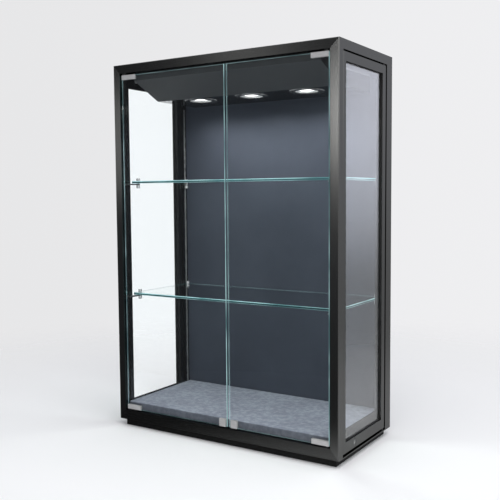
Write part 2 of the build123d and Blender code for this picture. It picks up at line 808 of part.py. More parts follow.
front_stile_corners = [
    (y_panel_front, z_panel_bottom),
    (y_panel_front, z_panel_top),
    (y_sight_front, z_sight_high),
    (y_sight_front, z_sight_low),
]
rear_stile_corners = [
    (y_panel_rear, z_panel_bottom),
    (y_panel_rear, z_panel_top),
    (y_sight_rear, z_sight_high),
    (y_sight_rear, z_sight_low),
]
top_member_corners = [
    (y_panel_front + mitre_gap, z_panel_top),
    (y_panel_rear - mitre_gap, z_panel_top),
    (y_sight_rear - mitre_gap, z_sight_high),
    (y_sight_front + mitre_gap, z_sight_high),
]
bottom_member_corners = [
    (y_panel_front + mitre_gap, z_panel_bottom),
    (y_panel_rear - mitre_gap, z_panel_bottom),
    (y_sight_rear - mitre_gap, z_sight_low),
    (y_sight_front + mitre_gap, z_sight_low),
]

left_ring = side_ring(-1)
right_ring = side_ring(1)

# Fixed left panel, tapped for its screws
for name, corner_sets in (
    ("left_panel_stiles", (front_stile_corners, rear_stile_corners)),
    ("left_panel_rails", (top_member_corners, bottom_member_corners)),
):
    blanks = [side_member(left_ring, -1, corners) for corners in corner_sets]
    with BuildPart() as left_members:
        for blank in blanks:
            add(blank.part)
        with BuildSketch(facing_right(-x_panel_in)):
            with Locations(*low_screws, *high_screws):
                Circle(panel_screw_radius + press_gap)
        extrude(amount=-panel_screw_length, mode=Mode.SUBTRACT)
    write_step(left_members, name)

# Pivot pins of the side door: from inside its rails to inside the cabinet's
pin_spans = (
    (z_panel_bottom + side_pin_depth * 2, z_frame + sill_flange / 2),
    (z_panel_top - side_pin_depth * 2, z_head + profile_wall),
)

# Hinged right panel: the rear stile's inner edge is relieved so that it swings clear of the sill,
# the bottom rail is bored for the lock, and both rails are bored for the pivot pins
for name, corners in (
    ("side_door_front_stile", front_stile_corners),
    ("side_door_rear_stile", rear_stile_corners),
    ("side_door_top_rail", top_member_corners),
    ("side_door_bottom_rail", bottom_member_corners),
):
    blank = side_member(right_ring, 1, corners)
    with BuildPart() as door_member:
        add(blank.part)
        with BuildSketch(Plane.XY.offset(z_panel_bottom)):
            with Locations((x_panel_in, y_panel_rear)):
                Rectangle(side_relief * math.sqrt(2), side_relief * math.sqrt(2), rotation=45)
        extrude(amount=z_panel_top - z_panel_bottom, mode=Mode.SUBTRACT)
        for z_inside_door, z_inside_rail in pin_spans:
            with BuildSketch(Plane.XY.offset(z_inside_door)):
                with Locations((side_pivot_x, side_pivot_y)):
                    Circle(side_pin_radius + press_gap)
            extrude(amount=z_inside_rail - z_inside_door, mode=Mode.SUBTRACT)
        with BuildSketch(facing_right(x_panel_in)):
            with Locations((y_lock, z_lock)):
                Circle(lock_body_radius + slide_gap)
        extrude(amount=panel_thickness, mode=Mode.SUBTRACT)
        with BuildSketch(facing_right(x_panel_out - lock_flange)):
            with Locations((y_lock, z_lock)):
                Circle(lock_flange_radius + slide_gap)
        extrude(amount=lock_flange, mode=Mode.SUBTRACT)
    write_step(door_member, name)

# Glass and gasket of both side panels
for side, glass_name, gasket_name in (
    (-1, "left_panel_glass", "left_panel_gasket"),
    (1, "side_door_glass", "side_door_gasket"),
):
    glass_plane, glass_size = low_plane(side, x_glass_in, x_glass_out)
    with BuildPart() as side_glass:
        with BuildSketch(glass_plane):
            with Locations((sight_y_mid, sight_z_mid)):
                Rectangle(sight_y + 2 * glass_engagement, sight_z + 2 * glass_engagement)
        extrude(amount=glass_size)
    write_step(side_glass, glass_name)
    strip_plane, strip_size = low_plane(side, x_glass_in - gasket_wall, x_glass_out + gasket_wall)
    with BuildPart() as gasket:
        with BuildSketch(strip_plane):
            gasket_reach = 2 * (glass_engagement + (groove_depth - glass_engagement) / 2)
            with Locations((sight_y_mid, sight_z_mid)):
                Rectangle(sight_y + gasket_reach, sight_z + gasket_reach)
                Rectangle(sight_y - 2 * gasket_lip, sight_z - 2 * gasket_lip, mode=Mode.SUBTRACT)
        extrude(amount=strip_size)
        add(side_glass.part, mode=Mode.SUBTRACT)
    write_step(gasket, gasket_name)

# Screws through the left sill and stop into the fixed panel
with BuildPart() as left_panel_screws:
    with BuildSketch(facing_right(-x_upstand)):
        with Locations(*low_screws, *high_screws):
            Circle(2 * panel_screw_radius)
    extrude(amount=panel_screw_radius)
    with BuildSketch(facing_right(-x_upstand)):
        with Locations(*low_screws, *high_screws):
            Circle(panel_screw_radius)
    extrude(amount=-panel_screw_length)
write_step(left_panel_screws, "left_panel_screws")

# Glass doors: leaf, pivot clips and strike plate
clip_front_y = y_front + door_setback - clip_plate
clip_depth = door_glass + 2 * clip_plate
y_glass_back = y_front + door_setback + door_glass


def wrap_plate(x_low, x_high, z_low, z_high, at_bottom):
    """A U-shaped plate round the bottom or top edge of the door glass."""
    x_mid, x_size = centre_and_size(x_low, x_high)
    z_mid, z_size = centre_and_size(z_low, z_high)
    with BuildPart() as plate:
        with BuildSketch(facing_front(clip_front_y + clip_depth)):
            with Locations((x_mid, z_mid)):
                Rectangle(x_size, z_size)
        extrude(amount=clip_depth)
        front_edges = plate.faces().sort_by(Axis.Y)[0].edges()
        chamfer(front_edges, clip_plate / 4)
        slot_shift = clip_web if at_bottom else -clip_web
        with BuildSketch(facing_front(y_glass_back)):
            with Locations((x_mid, z_mid + slot_shift)):
                Rectangle(x_size, z_size)
        extrude(amount=door_glass, mode=Mode.SUBTRACT)
    return plate.part


clip_ends = (
    (z_door_bottom - clip_web, z_door_bottom - clip_web + clip_height, True),
    (z_door_top + clip_web - clip_height, z_door_top + clip_web, False),
)
left_leaf = (-x_in + door_edge_gap, door_meeting_offset - door_meeting_gap / 2)
right_leaf = (door_meeting_offset + door_meeting_gap / 2, x_in - door_edge_gap)
for side, (leaf_low, leaf_high), name, pivot_x, strike_x in (
    (-1, left_leaf, "left_door", left_pivot_x, strike_places[0]),
    (1, right_leaf, "right_door", right_pivot_x, strike_places[1]),
):
    leaf_mid, leaf_width = centre_and_size(leaf_low, leaf_high)
    door_mid, door_height = centre_and_size(z_door_bottom, z_door_top)
    with BuildPart() as door_leaf:
        with BuildSketch(facing_front(y_glass_back)):
            with Locations((leaf_mid, door_mid)):
                Rectangle(leaf_width, door_height)
        extrude(amount=door_glass)
        for flat in (door_leaf.faces().sort_by(Axis.Y)[0], door_leaf.faces().sort_by(Axis.Y)[-1]):
            chamfer(flat.edges(), panel_play)
    write_step(door_leaf, f"{name}_glass")

    clip_low = leaf_low if side < 0 else leaf_high - clip_length
    with BuildPart() as door_clips:
        for z_low, z_high, at_bottom in clip_ends:
            add(wrap_plate(clip_low, clip_low + clip_length, z_low, z_high, at_bottom))
            z_pin = z_low if at_bottom else z_high
            pin_reach = door_bottom_gap if at_bottom else door_top_gap
            with BuildSketch(Plane.XY.offset(z_pin)):
                with Locations((pivot_x, door_pivot_y)):
                    Circle(pivot_pin_radius)
            extrude(amount=(-1 if at_bottom else 1) * (pin_reach - clip_web + pivot_pin_depth))
    write_step(door_clips, f"{name}_clips")

    strike_low = strike_x - strike_width / 2
    z_strike_low = z_door_bottom - clip_web
    with BuildPart() as strike_plate:
        add(wrap_plate(strike_low, strike_low + strike_width, z_strike_low, z_strike_low + strike_height, True))
    write_step(strike_plate, f"{name}_strike")

# Nylon bushes for every pivot
bush_flange = bush_radius + 1.5 * panel_play
door_bushes = (
    (z_sill, z_door_bottom - clip_web - slide_gap, -bush_wall_depth),
    (z_head, z_door_top + clip_web + slide_gap, bush_wall_depth),
)
side_bushes = (
    (z_frame, z_frame + sill_flange, z_panel_bottom - slide_gap),
    (z_head + profile_wall, z_head, z_panel_top + slide_gap),
)
with BuildPart() as pivot_bushes:
    for z_rail, z_clip, into_rail in door_bushes:
        with BuildSketch(Plane.XY.offset(z_rail)):
            with Locations(*pivot_places):
                Circle(bush_flange)
        extrude(amount=z_clip - z_rail)
        with BuildSketch(Plane.XY.offset(z_rail)):
            with Locations(*pivot_places):
                Circle(bush_radius)
        extrude(amount=into_rail)
    for z_end, z_face, z_door in side_bushes:
        with BuildSketch(Plane.XY.offset(z_face)):
            with Locations((side_pivot_x, side_pivot_y)):
                Circle(side_bush_radius + panel_play)
        extrude(amount=z_door - z_face)
        with BuildSketch(Plane.XY.offset(z_end)):
            with Locations((side_pivot_x, side_pivot_y)):
                Circle(side_bush_radius)
        extrude(amount=z_face - z_end)
    with BuildSketch(Plane.XY.offset(z_frame)):
        with Locations(*pivot_places):
            Circle(pivot_pin_radius + running_gap)
        with Locations((side_pivot_x, side_pivot_y)):
            Circle(side_pin_radius + running_gap)
    extrude(amount=frame_height, mode=Mode.SUBTRACT)
write_step(pivot_bushes, "pivot_bushes")

# Pivot pins pressed into the side door
with BuildPart() as side_door_pins:
    for z_inside_door, z_inside_rail in pin_spans:
        with BuildSketch(Plane.XY.offset(z_inside_door)):
            with Locations((side_pivot_x, side_pivot_y)):
                Circle(side_pin_radius)
        extrude(amount=z_inside_rail - z_inside_door)
write_step(side_door_pins, "side_door_pins")

# Cam lock: housing in the door's bottom rail, turning plug and cam
x_housing_end = x_upstand + slide_gap
x_flange_face = x_panel_out
with BuildPart() as lock_housing:
    with BuildSketch(facing_right(x_housing_end)):
        with Locations((y_lock, z_lock)):
            Circle(lock_body_radius)
    extrude(amount=x_flange_face - x_housing_end)
    with BuildSketch(facing_right(x_flange_face - lock_flange)):
        with Locations((y_lock, z_lock)):
            Circle(lock_flange_radius)
    extrude(amount=lock_flange)
    rim = lock_housing.faces().sort_by(Axis.X)[-1].edges()
    fillet(rim, lock_flange / 2)
    with BuildSketch(facing_right(x_housing_end)):
        with Locations((y_lock, z_lock)):
            Circle(lock_plug_radius + slide_gap)
    extrude(amount=x_flange_face - x_housing_end, mode=Mode.SUBTRACT)
write_step(lock_housing, "lock_housing")

x_cam_out = x_upstand - slide_gap
with BuildPart() as lock_plug:
    with BuildSketch(facing_right(x_cam_out)):
        with Locations((y_lock, z_lock)):
            Circle(lock_plug_radius)
    extrude(amount=x_flange_face - x_cam_out - slide_gap)
    with BuildSketch(facing_right(x_flange_face - slide_gap - key_slot_depth)):
        with Locations((y_lock, z_lock)):
            SlotOverall(key_slot_length, key_slot_width, rotation=90)
    extrude(amount=key_slot_depth, mode=Mode.SUBTRACT)
write_step(lock_plug, "lock_plug")

with BuildPart() as lock_cam:
    with BuildSketch(facing_right(x_cam_out - cam_thickness)):
        with Locations((y_lock, z_lock)):
            Circle(cam_width / 2)
        arm_mid, arm_size = centre_and_size(y_lock, y_lock + cam_length - cam_width / 2)
        with Locations((arm_mid, z_lock)):
            Rectangle(arm_size, cam_width)
        with Locations((y_lock + cam_length - cam_width / 2, z_lock)):
            Circle(cam_width / 2)
    extrude(amount=cam_thickness)
write_step(lock_cam, "lock_cam")

# Push latches: housing in the deck, spring sleeve and plunger
y_latch_front = y_deck - felt_thickness - latch_flange
y_latch_end = y_deck + latch_length
y_plunger_tip = clip_front_y + clip_depth + slide_gap
y_plunger_end = y_plunger_tip + plunger_length
plunger_bore = plunger_radius + running_gap
with BuildPart() as latch_housings:
    with BuildSketch(facing_front(y_latch_end)):
        with Locations(*latch_points):
            Circle(latch_radius)
    extrude(amount=y_latch_end - y_latch_front)
    with BuildSketch(facing_front(y_latch_front + latch_flange)):
        with Locations(*latch_points):
            Circle(latch_flange_radius)
    extrude(amount=latch_flange)
    with BuildSketch(facing_front(y_latch_end - profile_wall)):
        with Locations(*latch_points):
            Circle(plunger_bore)
    extrude(amount=y_latch_end - profile_wall - y_latch_front, mode=Mode.SUBTRACT)
write_step(latch_housings, "latch_housings")

y_spring_front = y_plunger_end + plunger_travel + slide_gap
with BuildPart() as latch_springs:
    with BuildSketch(facing_front(y_latch_end - profile_wall)):
        with Locations(*latch_points):
            Circle(plunger_radius)
            Circle(plunger_radius - spring_wall, mode=Mode.SUBTRACT)
    extrude(amount=y_latch_end - profile_wall - y_spring_front)
write_step(latch_springs, "latch_springs")

for x_latch, name in zip(strike_places, ("left_latch_plunger", "right_latch_plunger")):
    with BuildPart() as plunger:
        with BuildSketch(facing_front(y_plunger_end)):
            with Locations((x_latch, z_latch)):
                Circle(plunger_radius)
        extrude(amount=plunger_length)
        chamfer(plunger.faces().sort_by(Axis.Y)[0].edges(), panel_play)
    write_step(plunger, name)

print("door pivots", pivot_places)
print("side pivot", (side_pivot_x, side_pivot_y))
print("lock", (x_flange_face, y_lock, z_lock))
print("latches", latch_points)
print("lamps", lamp_places, "at", z_canopy)
print("wall holes", z_top - wall_hole_drop, z_frame + wall_hole_rise)
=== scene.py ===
# %% [markdown]
# # A glass display cabinet with a graphite frame
#
# The cabinet is a shallow showcase: a mitred frame of dark anodised profile stands in front, a second
# frame behind it carries the back panel, and clear panes close the sides. Two frameless glass doors turn
# on small steel clips, two glass shelves rest on padded clamps, and three lamps sit in a sheet canopy.
# This lesson dresses the finished solid model. The shapes stay as they were drawn, so the work here is
# light, finish, and the one soft part, the felt on the deck.

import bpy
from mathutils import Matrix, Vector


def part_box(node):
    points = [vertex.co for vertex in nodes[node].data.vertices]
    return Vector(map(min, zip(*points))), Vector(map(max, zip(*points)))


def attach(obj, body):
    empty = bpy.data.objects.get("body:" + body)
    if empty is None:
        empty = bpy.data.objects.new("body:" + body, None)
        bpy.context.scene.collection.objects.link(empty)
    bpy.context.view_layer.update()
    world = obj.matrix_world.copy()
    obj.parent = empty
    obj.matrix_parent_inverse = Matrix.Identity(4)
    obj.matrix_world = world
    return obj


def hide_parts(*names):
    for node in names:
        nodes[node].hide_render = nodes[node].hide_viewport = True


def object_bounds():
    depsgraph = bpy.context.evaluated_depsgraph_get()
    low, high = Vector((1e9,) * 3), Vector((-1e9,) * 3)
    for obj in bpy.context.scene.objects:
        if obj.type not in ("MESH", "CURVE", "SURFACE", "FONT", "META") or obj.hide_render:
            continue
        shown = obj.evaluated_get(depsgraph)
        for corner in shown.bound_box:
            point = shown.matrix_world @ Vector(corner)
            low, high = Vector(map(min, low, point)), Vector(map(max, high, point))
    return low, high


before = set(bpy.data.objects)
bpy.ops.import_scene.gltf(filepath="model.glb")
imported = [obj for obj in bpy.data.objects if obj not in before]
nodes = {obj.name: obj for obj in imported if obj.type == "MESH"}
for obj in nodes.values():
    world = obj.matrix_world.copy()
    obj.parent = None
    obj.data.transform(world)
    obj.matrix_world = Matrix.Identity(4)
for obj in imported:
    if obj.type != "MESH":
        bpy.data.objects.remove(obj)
solid_low, solid_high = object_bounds()
print("solid model", [round(v, 4) for v in solid_low], [round(v, 4) for v in solid_high])

# %% Tools for the lesson
import math

import bmesh
import bpy
from mathutils import Matrix, Vector, noise

MM = 0.001

# %% [markdown]
# ## The camera
#
# The picture was taken from the right, a little above the middle of the cabinet and looking down by about
# four degrees. The place and the lens were worked out from the eight outer corners of the frame and from
# the edges of the glass. A camera could be aimed with a tracking constraint, but a matrix from three
# angles says exactly what was measured and keeps the slight lean of the picture.

# %% Work out where the camera looks
camera_place = Vector((0.96264, -1.51531, 0.56827))
camera_turn = math.radians(32.4876)
camera_dip = math.radians(4.2012)
camera_lean = math.radians(-0.43057)
forward = Vector((
    -math.sin(camera_turn) * math.cos(camera_dip),
    math.cos(camera_turn) * math.cos(camera_dip),
    -math.sin(camera_dip),
))
level = Vector((math.cos(camera_turn), math.sin(camera_turn), 0))
upward = level.cross(forward)
picture_right = level * math.cos(camera_lean) + upward * math.sin(camera_lean)
picture_up = upward * math.cos(camera_lean) - level * math.sin(camera_lean)
print("the lens looks towards", [round(v, 3) for v in forward])

# %% Put a camera there
lens = bpy.data.cameras.new("portrait_lens")
lens.lens = 54.133
lens.sensor_width = 36
lens.clip_start = 0.05
camera = bpy.data.objects.new("camera", lens)
bpy.context.scene.collection.objects.link(camera)
camera.matrix_world = (
    Matrix.Translation(camera_place)
    @ Matrix((picture_right, picture_up, -forward)).transposed().to_4x4()
)
bpy.context.scene.camera = camera
print("camera at", [round(v, 3) for v in camera_place], "with a lens of", lens.lens, "mm")

# %% Find where a corner of the frame falls in the picture
picture_size = 500


def picture_spot(place):
    """Where a point of the room falls in the square picture, in pixels."""
    away = Vector(place) - camera_place
    scale = lens.lens / lens.sensor_width * picture_size / away.dot(forward)
    middle = picture_size / 2
    return middle + away.dot(picture_right) * scale, middle - away.dot(picture_up) * scale


front_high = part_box("front_right_post")[1]
front_corner = (solid_high.x, solid_low.y, front_high.z)
print("top corner by the right post at", [round(v, 1) for v in picture_spot(front_corner)])

# %% [markdown]
# ## The studio
#
# The cabinet stands on a pale floor in a pale room, and its dark faces show what the room holds: the side
# turned to the bright end is grey, the front turned to the dim corner is nearly black. A flat white
# world would light both alike. A world that is bright all round but for one soft dim corner gives the
# polished faces that difference, and the lens itself sees only the pale backdrop.
#
# What is seen through a pane needs a rule of its own, because the world can't tell a look through the
# glass from a reflection that leaves it. A ray that has never been mirrored or scattered sees the
# backdrop, a little brighter after two panes than after one. So does a mirrored ray that leaves by the
# cabinet's left side, which keeps the shelves' tops pale. Any other ray sees the room.

# %% Colour handling
bpy.context.scene.view_settings.view_transform = "Standard"
print("view transform", bpy.context.scene.view_settings.view_transform)


# %% A helper that feeds a socket
def wire(tree, source, target):
    """Feed a socket from another, or set it to a number, a vector or a colour."""
    if isinstance(source, bpy.types.NodeSocket):
        tree.links.new(source, target)
    elif isinstance(source, (tuple, Vector)):
        target.default_value = (*source, 1)[:len(target.default_value)]
    else:
        target.default_value = source


# %% Helpers for sums
def number(tree, operation, *values):
    """A Math node over numbers or sockets."""
    node = tree.nodes.new("ShaderNodeMath")
    node.operation = operation
    for place, value in enumerate(values):
        wire(tree, value, node.inputs[place])
    return node.outputs[0]


def product(tree, value, *factors):
    for factor in factors:
        value = number(tree, "MULTIPLY", value, factor)
    return value


# %% Helpers for mixing and for soft steps
def between(tree, mask, low, high):
    """A colour that goes from low to high with a mask."""
    node = tree.nodes.new("ShaderNodeMix")
    node.data_type = "RGBA"
    for place, value in ((0, mask), (6, low), (7, high)):
        wire(tree, value, node.inputs[place])
    return node.outputs[2]


def ranged(tree, value, low, high, out_low=0.0, out_high=1.0):
    """A Map Range node with soft ends."""
    node = tree.nodes.new("ShaderNodeMapRange")
    node.interpolation_type = "SMOOTHSTEP"
    labels = ("Value", "From Min", "From Max", "To Min", "To Max")
    for label, source in zip(labels, (value, low, high, out_low, out_high)):
        wire(tree, source, node.inputs[label])
    return node.outputs["Result"]


# %% Helpers for directions and places
def toward(tree, place, aim):
    """How far one vector points the way of another, as their dot product."""
    node = tree.nodes.new("ShaderNodeVectorMath")
    node.operation = "DOT_PRODUCT"
    wire(tree, place, node.inputs[0])
    wire(tree, aim, node.inputs[1])
    return node.outputs["Value"]


def coordinates(tree, kind, axis=None):
    """A texture coordinate such as Object or Normal, or its X, Y or Z alone."""
    whole = tree.nodes.new("ShaderNodeTexCoord").outputs[kind]
    if axis is None:
        return whole
    split = tree.nodes.new("ShaderNodeSeparateXYZ")
    wire(tree, whole, split.inputs[0])
    return split.outputs[axis]


# %% The room's colours and what lies where
room_bright = (0.56, 0.57, 0.59)
room_window = (1.95, 2.0, 2.25)
room_dim = (0.085, 0.09, 0.10)
backdrop_left = (0.80, 0.80, 0.81)
backdrop_right = (0.86, 0.86, 0.875)
backdrop_one_pane = (0.90, 0.91, 0.93)
backdrop_through = (1.09, 1.12, 1.15)
dim_corner = Vector((-0.66, -0.70, -0.15)).normalized()
window_side = Vector((0.41, 0.91, 0.30)).normalized()
left_opening = Vector((-0.68, 0.73, 0)).normalized()
corner_reach = (0.70, 0.94)  # cosines of the angles where it starts and where it is full
window_reach = (0.91, 0.99)
opening_reach = (0.60, 0.85)
picture_half = 0.32
window_in_rough = 0.25  # the window's share on faces that aren't mirror smooth
beyond_one_pane = 3.5  # a pane bends a ray twice, so four bends mean two panes
print("dim corner towards", [round(v, 2) for v in dim_corner])

# %% A world bright all round but for the dim corner
world = bpy.data.worlds.new("studio_room")
world.use_nodes = True
bpy.context.scene.world = world
room = world.node_tree
rays = room.nodes.new("ShaderNodeLightPath").outputs
direction = coordinates(room, "Generated")
in_corner = ranged(room, toward(room, direction, dim_corner), *corner_reach)
in_window = ranged(room, toward(room, direction, window_side), *window_reach)
smooth_share = product(room, rays["Is Singular Ray"], 1 - window_in_rough)
window_glow = product(room, in_window, number(room, "ADD", smooth_share, window_in_rough))
lit_room = between(room, window_glow, between(room, in_corner, room_bright, room_dim), room_window)
print("the lit room takes", len(room.nodes), "nodes")

# %% The backdrop, seen straight or past the glass
across_picture = ranged(room, toward(room, direction, picture_right), -picture_half, picture_half)
backdrop = between(room, across_picture, backdrop_left, backdrop_right)
unscattered = number(room, "LESS_THAN", rays["Diffuse Depth"], 0.5)
unmirrored = number(room, "LESS_THAN", rays["Glossy Depth"], 0.5)
out_left = ranged(room, toward(room, direction, left_opening), *opening_reach)
clear_way = number(room, "MAXIMUM", unmirrored, out_left)
straight = product(room, rays["Is Transmission Ray"], unscattered, clear_way)
two_panes = number(room, "GREATER_THAN", rays["Transmission Depth"], beyond_one_pane)
past_glass = between(room, two_panes, backdrop_one_pane, backdrop_through)
behind_glass = between(room, straight, lit_room, past_glass)
seen = between(room, rays["Is Camera Ray"], behind_glass, backdrop)
wire(room, seen, room.nodes["Background"].inputs["Color"])
print("with the backdrop it takes", len(room.nodes))

# %% [markdown]
# ## The floor
#
# A photographer's sweep is paper that curves up behind the object so that no edge shows. A large disc
# whose rim fades into the room does the same from every side, and it keeps the soft shadow under the
# plinth, which tells the eye that the cabinet stands. It follows the room's rules too: mirrored, its
# front left end is dim, and seen through the panes it is a little brighter.

# %% Build the floor disc
floor_radius = 9
floor_drop = 0.2 * MM
floor_sides = 96
floor_mesh = bpy.data.meshes.new("studio_floor")
shape = bmesh.new()
bmesh.ops.create_circle(shape, cap_ends=True, radius=floor_radius, segments=floor_sides)
shape.to_mesh(floor_mesh)
shape.free()
floor = bpy.data.objects.new("studio_floor", floor_mesh)
floor.location.z = solid_low.z - floor_drop
bpy.context.scene.collection.objects.link(floor)
print("floor at z", round(floor.location.z, 4), "reaches", floor_radius, "m")

# %% Give it pale paper with a dim end
floor_colour = (0.93, 0.93, 0.94)
floor_dim = (0.06, 0.06, 0.062)
front_left = Vector((-0.45, -0.89, 0)).normalized()
paper = bpy.data.materials.new("studio_paper")
paper.use_nodes = True
tree = paper.node_tree
paper_shader = tree.nodes["Principled BSDF"]
paper_shader.inputs["Roughness"].default_value = 0.85
paper_shader.inputs["Specular IOR Level"].default_value = 0.2
on_floor = coordinates(tree, "Object")
rays = tree.nodes.new("ShaderNodeLightPath").outputs
unlit_end = ranged(tree, toward(tree, on_floor, front_left), -0.05, 0.30)
dimmed = product(tree, unlit_end, number(tree, "GREATER_THAN", rays["Glossy Depth"], 0.5))
wire(tree, between(tree, dimmed, floor_colour, floor_dim), paper_shader.inputs["Base Color"])
floor.data.materials.append(paper)
print(paper.name, "on", floor.name)

# %% Let it glow a little behind the panes
black = (0.0, 0.0, 0.0)
floor_through = (0.30, 0.30, 0.30)
one_pane_share = 0.2
bounces = number(tree, "ADD", rays["Diffuse Depth"], rays["Glossy Depth"])
unscattered = number(tree, "LESS_THAN", bounces, 0.5)
two_panes = number(tree, "GREATER_THAN", rays["Transmission Depth"], beyond_one_pane)
pane_share = number(tree, "MULTIPLY_ADD", two_panes, 1 - one_pane_share, one_pane_share)
through_glass = product(tree, rays["Is Transmission Ray"], unscattered, pane_share)
paper_glow = between(tree, through_glass, black, floor_through)
wire(tree, paper_glow, paper_shader.inputs["Emission Color"])
paper_shader.inputs["Emission Strength"].default_value = 1.0
print("one pane shows", one_pane_share, "of the floor's glow")

# %% Fade its rim into the room
fade_start, fade_end = 0.42, 1.8
reach = tree.nodes.new("ShaderNodeVectorMath")
reach.operation = "LENGTH"
wire(tree, on_floor, reach.inputs[0])
clear = tree.nodes.new("ShaderNodeBsdfTransparent")
mixed = tree.nodes.new("ShaderNodeMixShader")
wire(tree, ranged(tree, reach.outputs["Value"], fade_start, fade_end), mixed.inputs[0])
wire(tree, paper_shader.outputs[0], mixed.inputs[1])
wire(tree, clear.outputs[0], mixed.inputs[2])
wire(tree, mixed.outputs[0], tree.nodes["Material Output"].inputs["Surface"])
print("floor fades from", fade_start, "to", fade_end, "m")

# %% [markdown]
# ## The lamps
#
# Two large soft boxes light the outside, one overhead for the top and the floor and one to the right of
# the camera for the side. Four smaller ones each shine on one piece alone: their reflections run down the
# front posts, along the top rail and over the shelf knobs. Linked to everything, they would show as bright
# squares in the doors. Inside, three ceiling lamps throw wide cones onto the shelves and the deck. Point
# lamps would give hard shadows that the picture doesn't have.


# %% A helper that hangs a soft box
def soft_box(name, place, aim, wide, high, power):
    lamp = bpy.data.lights.new(name, "AREA")
    lamp.shape = "RECTANGLE"
    lamp.size = wide
    lamp.size_y = high
    lamp.energy = power
    holder = bpy.data.objects.new(name, lamp)
    holder.location = place
    holder.rotation_euler = (Vector(aim) - Vector(place)).to_track_quat("-Z", "Y").to_euler()
    holder.visible_camera = False
    holder.visible_transmission = False
    bpy.context.scene.collection.objects.link(holder)
    return holder


# %% A helper that keeps a lamp to one piece
def shine_only_on(piece, lamp, mirrored_only=True):
    """Let a lamp reach one piece alone, so that the panes don't show it."""
    lamp.visible_diffuse = not mirrored_only
    chosen = bpy.data.collections.new(lamp.name + "_mirrors")
    chosen.objects.link(nodes[piece])
    lamp.light_linking.receiver_collection = chosen
    print(lamp.name, "shines on", piece, "alone")


# %% Hang the soft boxes
soft_box("overhead_box", (0.9, -0.6, 2.8), (0.1, 0, 0), 2.6, 2.6, 46)
soft_box("right_box", (2.4, -1.6, 1.6), (0, 0, 0.45), 1.4, 1.8, 12)
shine_only_on(
    "front_right_post",
    soft_box("front_box", (-0.318, -2.04, 0.93), (0.3, -0.14, 0.72), 0.3, 0.36, 6.6),
)
shine_only_on(
    "front_left_post",
    soft_box("left_box", (-1.75, -1.75, 0.85), (-0.29, -0.14, 0.72), 0.25, 0.5, 0.7),
)
shine_only_on(
    "front_top_rail",
    soft_box("high_box", (-1.02, -1.85, 1.25), (0.02, -0.14, 0.87), 0.3, 0.3, 0.6),
)
shine_only_on(
    "shelf_clamp_knobs",
    soft_box("clamp_box", (1.75, -1.25, 0.45), (0, 0, 0.45), 0.5, 0.9, 4.5),
    mirrored_only=False,
)

# %% Light the three ceiling lamps
lamp_pitch = 148 * MM
lamp_y = 10 * MM
lamp_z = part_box("downlight_bezels")[0].z - 0.5 * MM
for place, lamp_x in (("left", -lamp_pitch), ("middle", 0.0), ("right", lamp_pitch)):
    glow = bpy.data.lights.new(place + "_lamp_glow", "AREA")
    glow.shape = "DISK"
    glow.size = 40 * MM
    glow.spread = math.radians(150)
    glow.energy = 0.40
    glow.color = (1.0, 0.985, 0.96)
    holder = bpy.data.objects.new(place + "_lamp_glow", glow)
    holder.location = (lamp_x, lamp_y, lamp_z)
    holder.visible_camera = False
    holder.visible_glossy = False
    holder.visible_transmission = False
    bpy.context.scene.collection.objects.link(holder)
print("ceiling lamps shine from z", round(lamp_z, 4))

# %% [markdown]
# ## Shared effects
#
# Real finishes differ less in colour than in what happens on them: a fine skin, lines from a brush, rubbed
# arrises, dust on ledges, the marks of hands. Each effect here is a node group with named sockets, so the
# same group serves several finishes with its own values. Painted textures would need an unwrap of
# every piece, while these read the piece's own coordinates and follow it when a door turns.


# %% A helper that starts a group
def effect(name, inputs, outputs):
    """A node group with (label, kind, value) inputs and (label, kind) outputs."""
    group = bpy.data.node_groups.new(name, "ShaderNodeTree")
    for label, kind, value in inputs:
        socket = group.interface.new_socket(label, in_out="INPUT", socket_type="NodeSocket" + kind)
        socket.default_value = value
    for label, kind in outputs:
        group.interface.new_socket(label, in_out="OUTPUT", socket_type="NodeSocket" + kind)
    print("effect", name, "takes", len(inputs), "values and puts out", len(outputs))
    return group, group.nodes.new("NodeGroupInput").outputs, group.nodes.new("NodeGroupOutput").inputs


# %% Helpers for noise
def clouds(tree, scale, detail, stretch=None):
    """Noise over the piece's own coordinates, in cycles per metre."""
    place = coordinates(tree, "Object")
    if stretch is not None:
        squeeze = tree.nodes.new("ShaderNodeVectorMath")
        squeeze.operation = "MULTIPLY"
        wire(tree, place, squeeze.inputs[0])
        wire(tree, stretch, squeeze.inputs[1])
        place = squeeze.outputs[0]
    node = tree.nodes.new("ShaderNodeTexNoise")
    for label, value in (("Vector", place), ("Scale", scale), ("Detail", detail)):
        wire(tree, value, node.inputs[label])
    return node.outputs["Fac"]


def mottled(tree, scale, detail, low=0.3, high=0.7, stretch=None):
    """Noise drawn out to fill the range from nought to one."""
    return ranged(tree, clouds(tree, scale, detail, stretch), low, high)


# %% Fine skin: the grain of anodising, paint or moulded plastic
fine_skin, take, give = effect(
    "Fine Skin",
    [("Scale", "Float", 900.0), ("Smooth", "Float", 0.3), ("Dull", "Float", 0.5)],
    [("Height", "Float"), ("Roughness", "Float")],
)
pores = clouds(fine_skin, take["Scale"], 3.0)
drift = clouds(fine_skin, 9.0, 3.0)
wire(fine_skin, pores, give["Height"])
wire(fine_skin, ranged(fine_skin, drift, 0.3, 0.7, take["Smooth"], take["Dull"]), give["Roughness"])

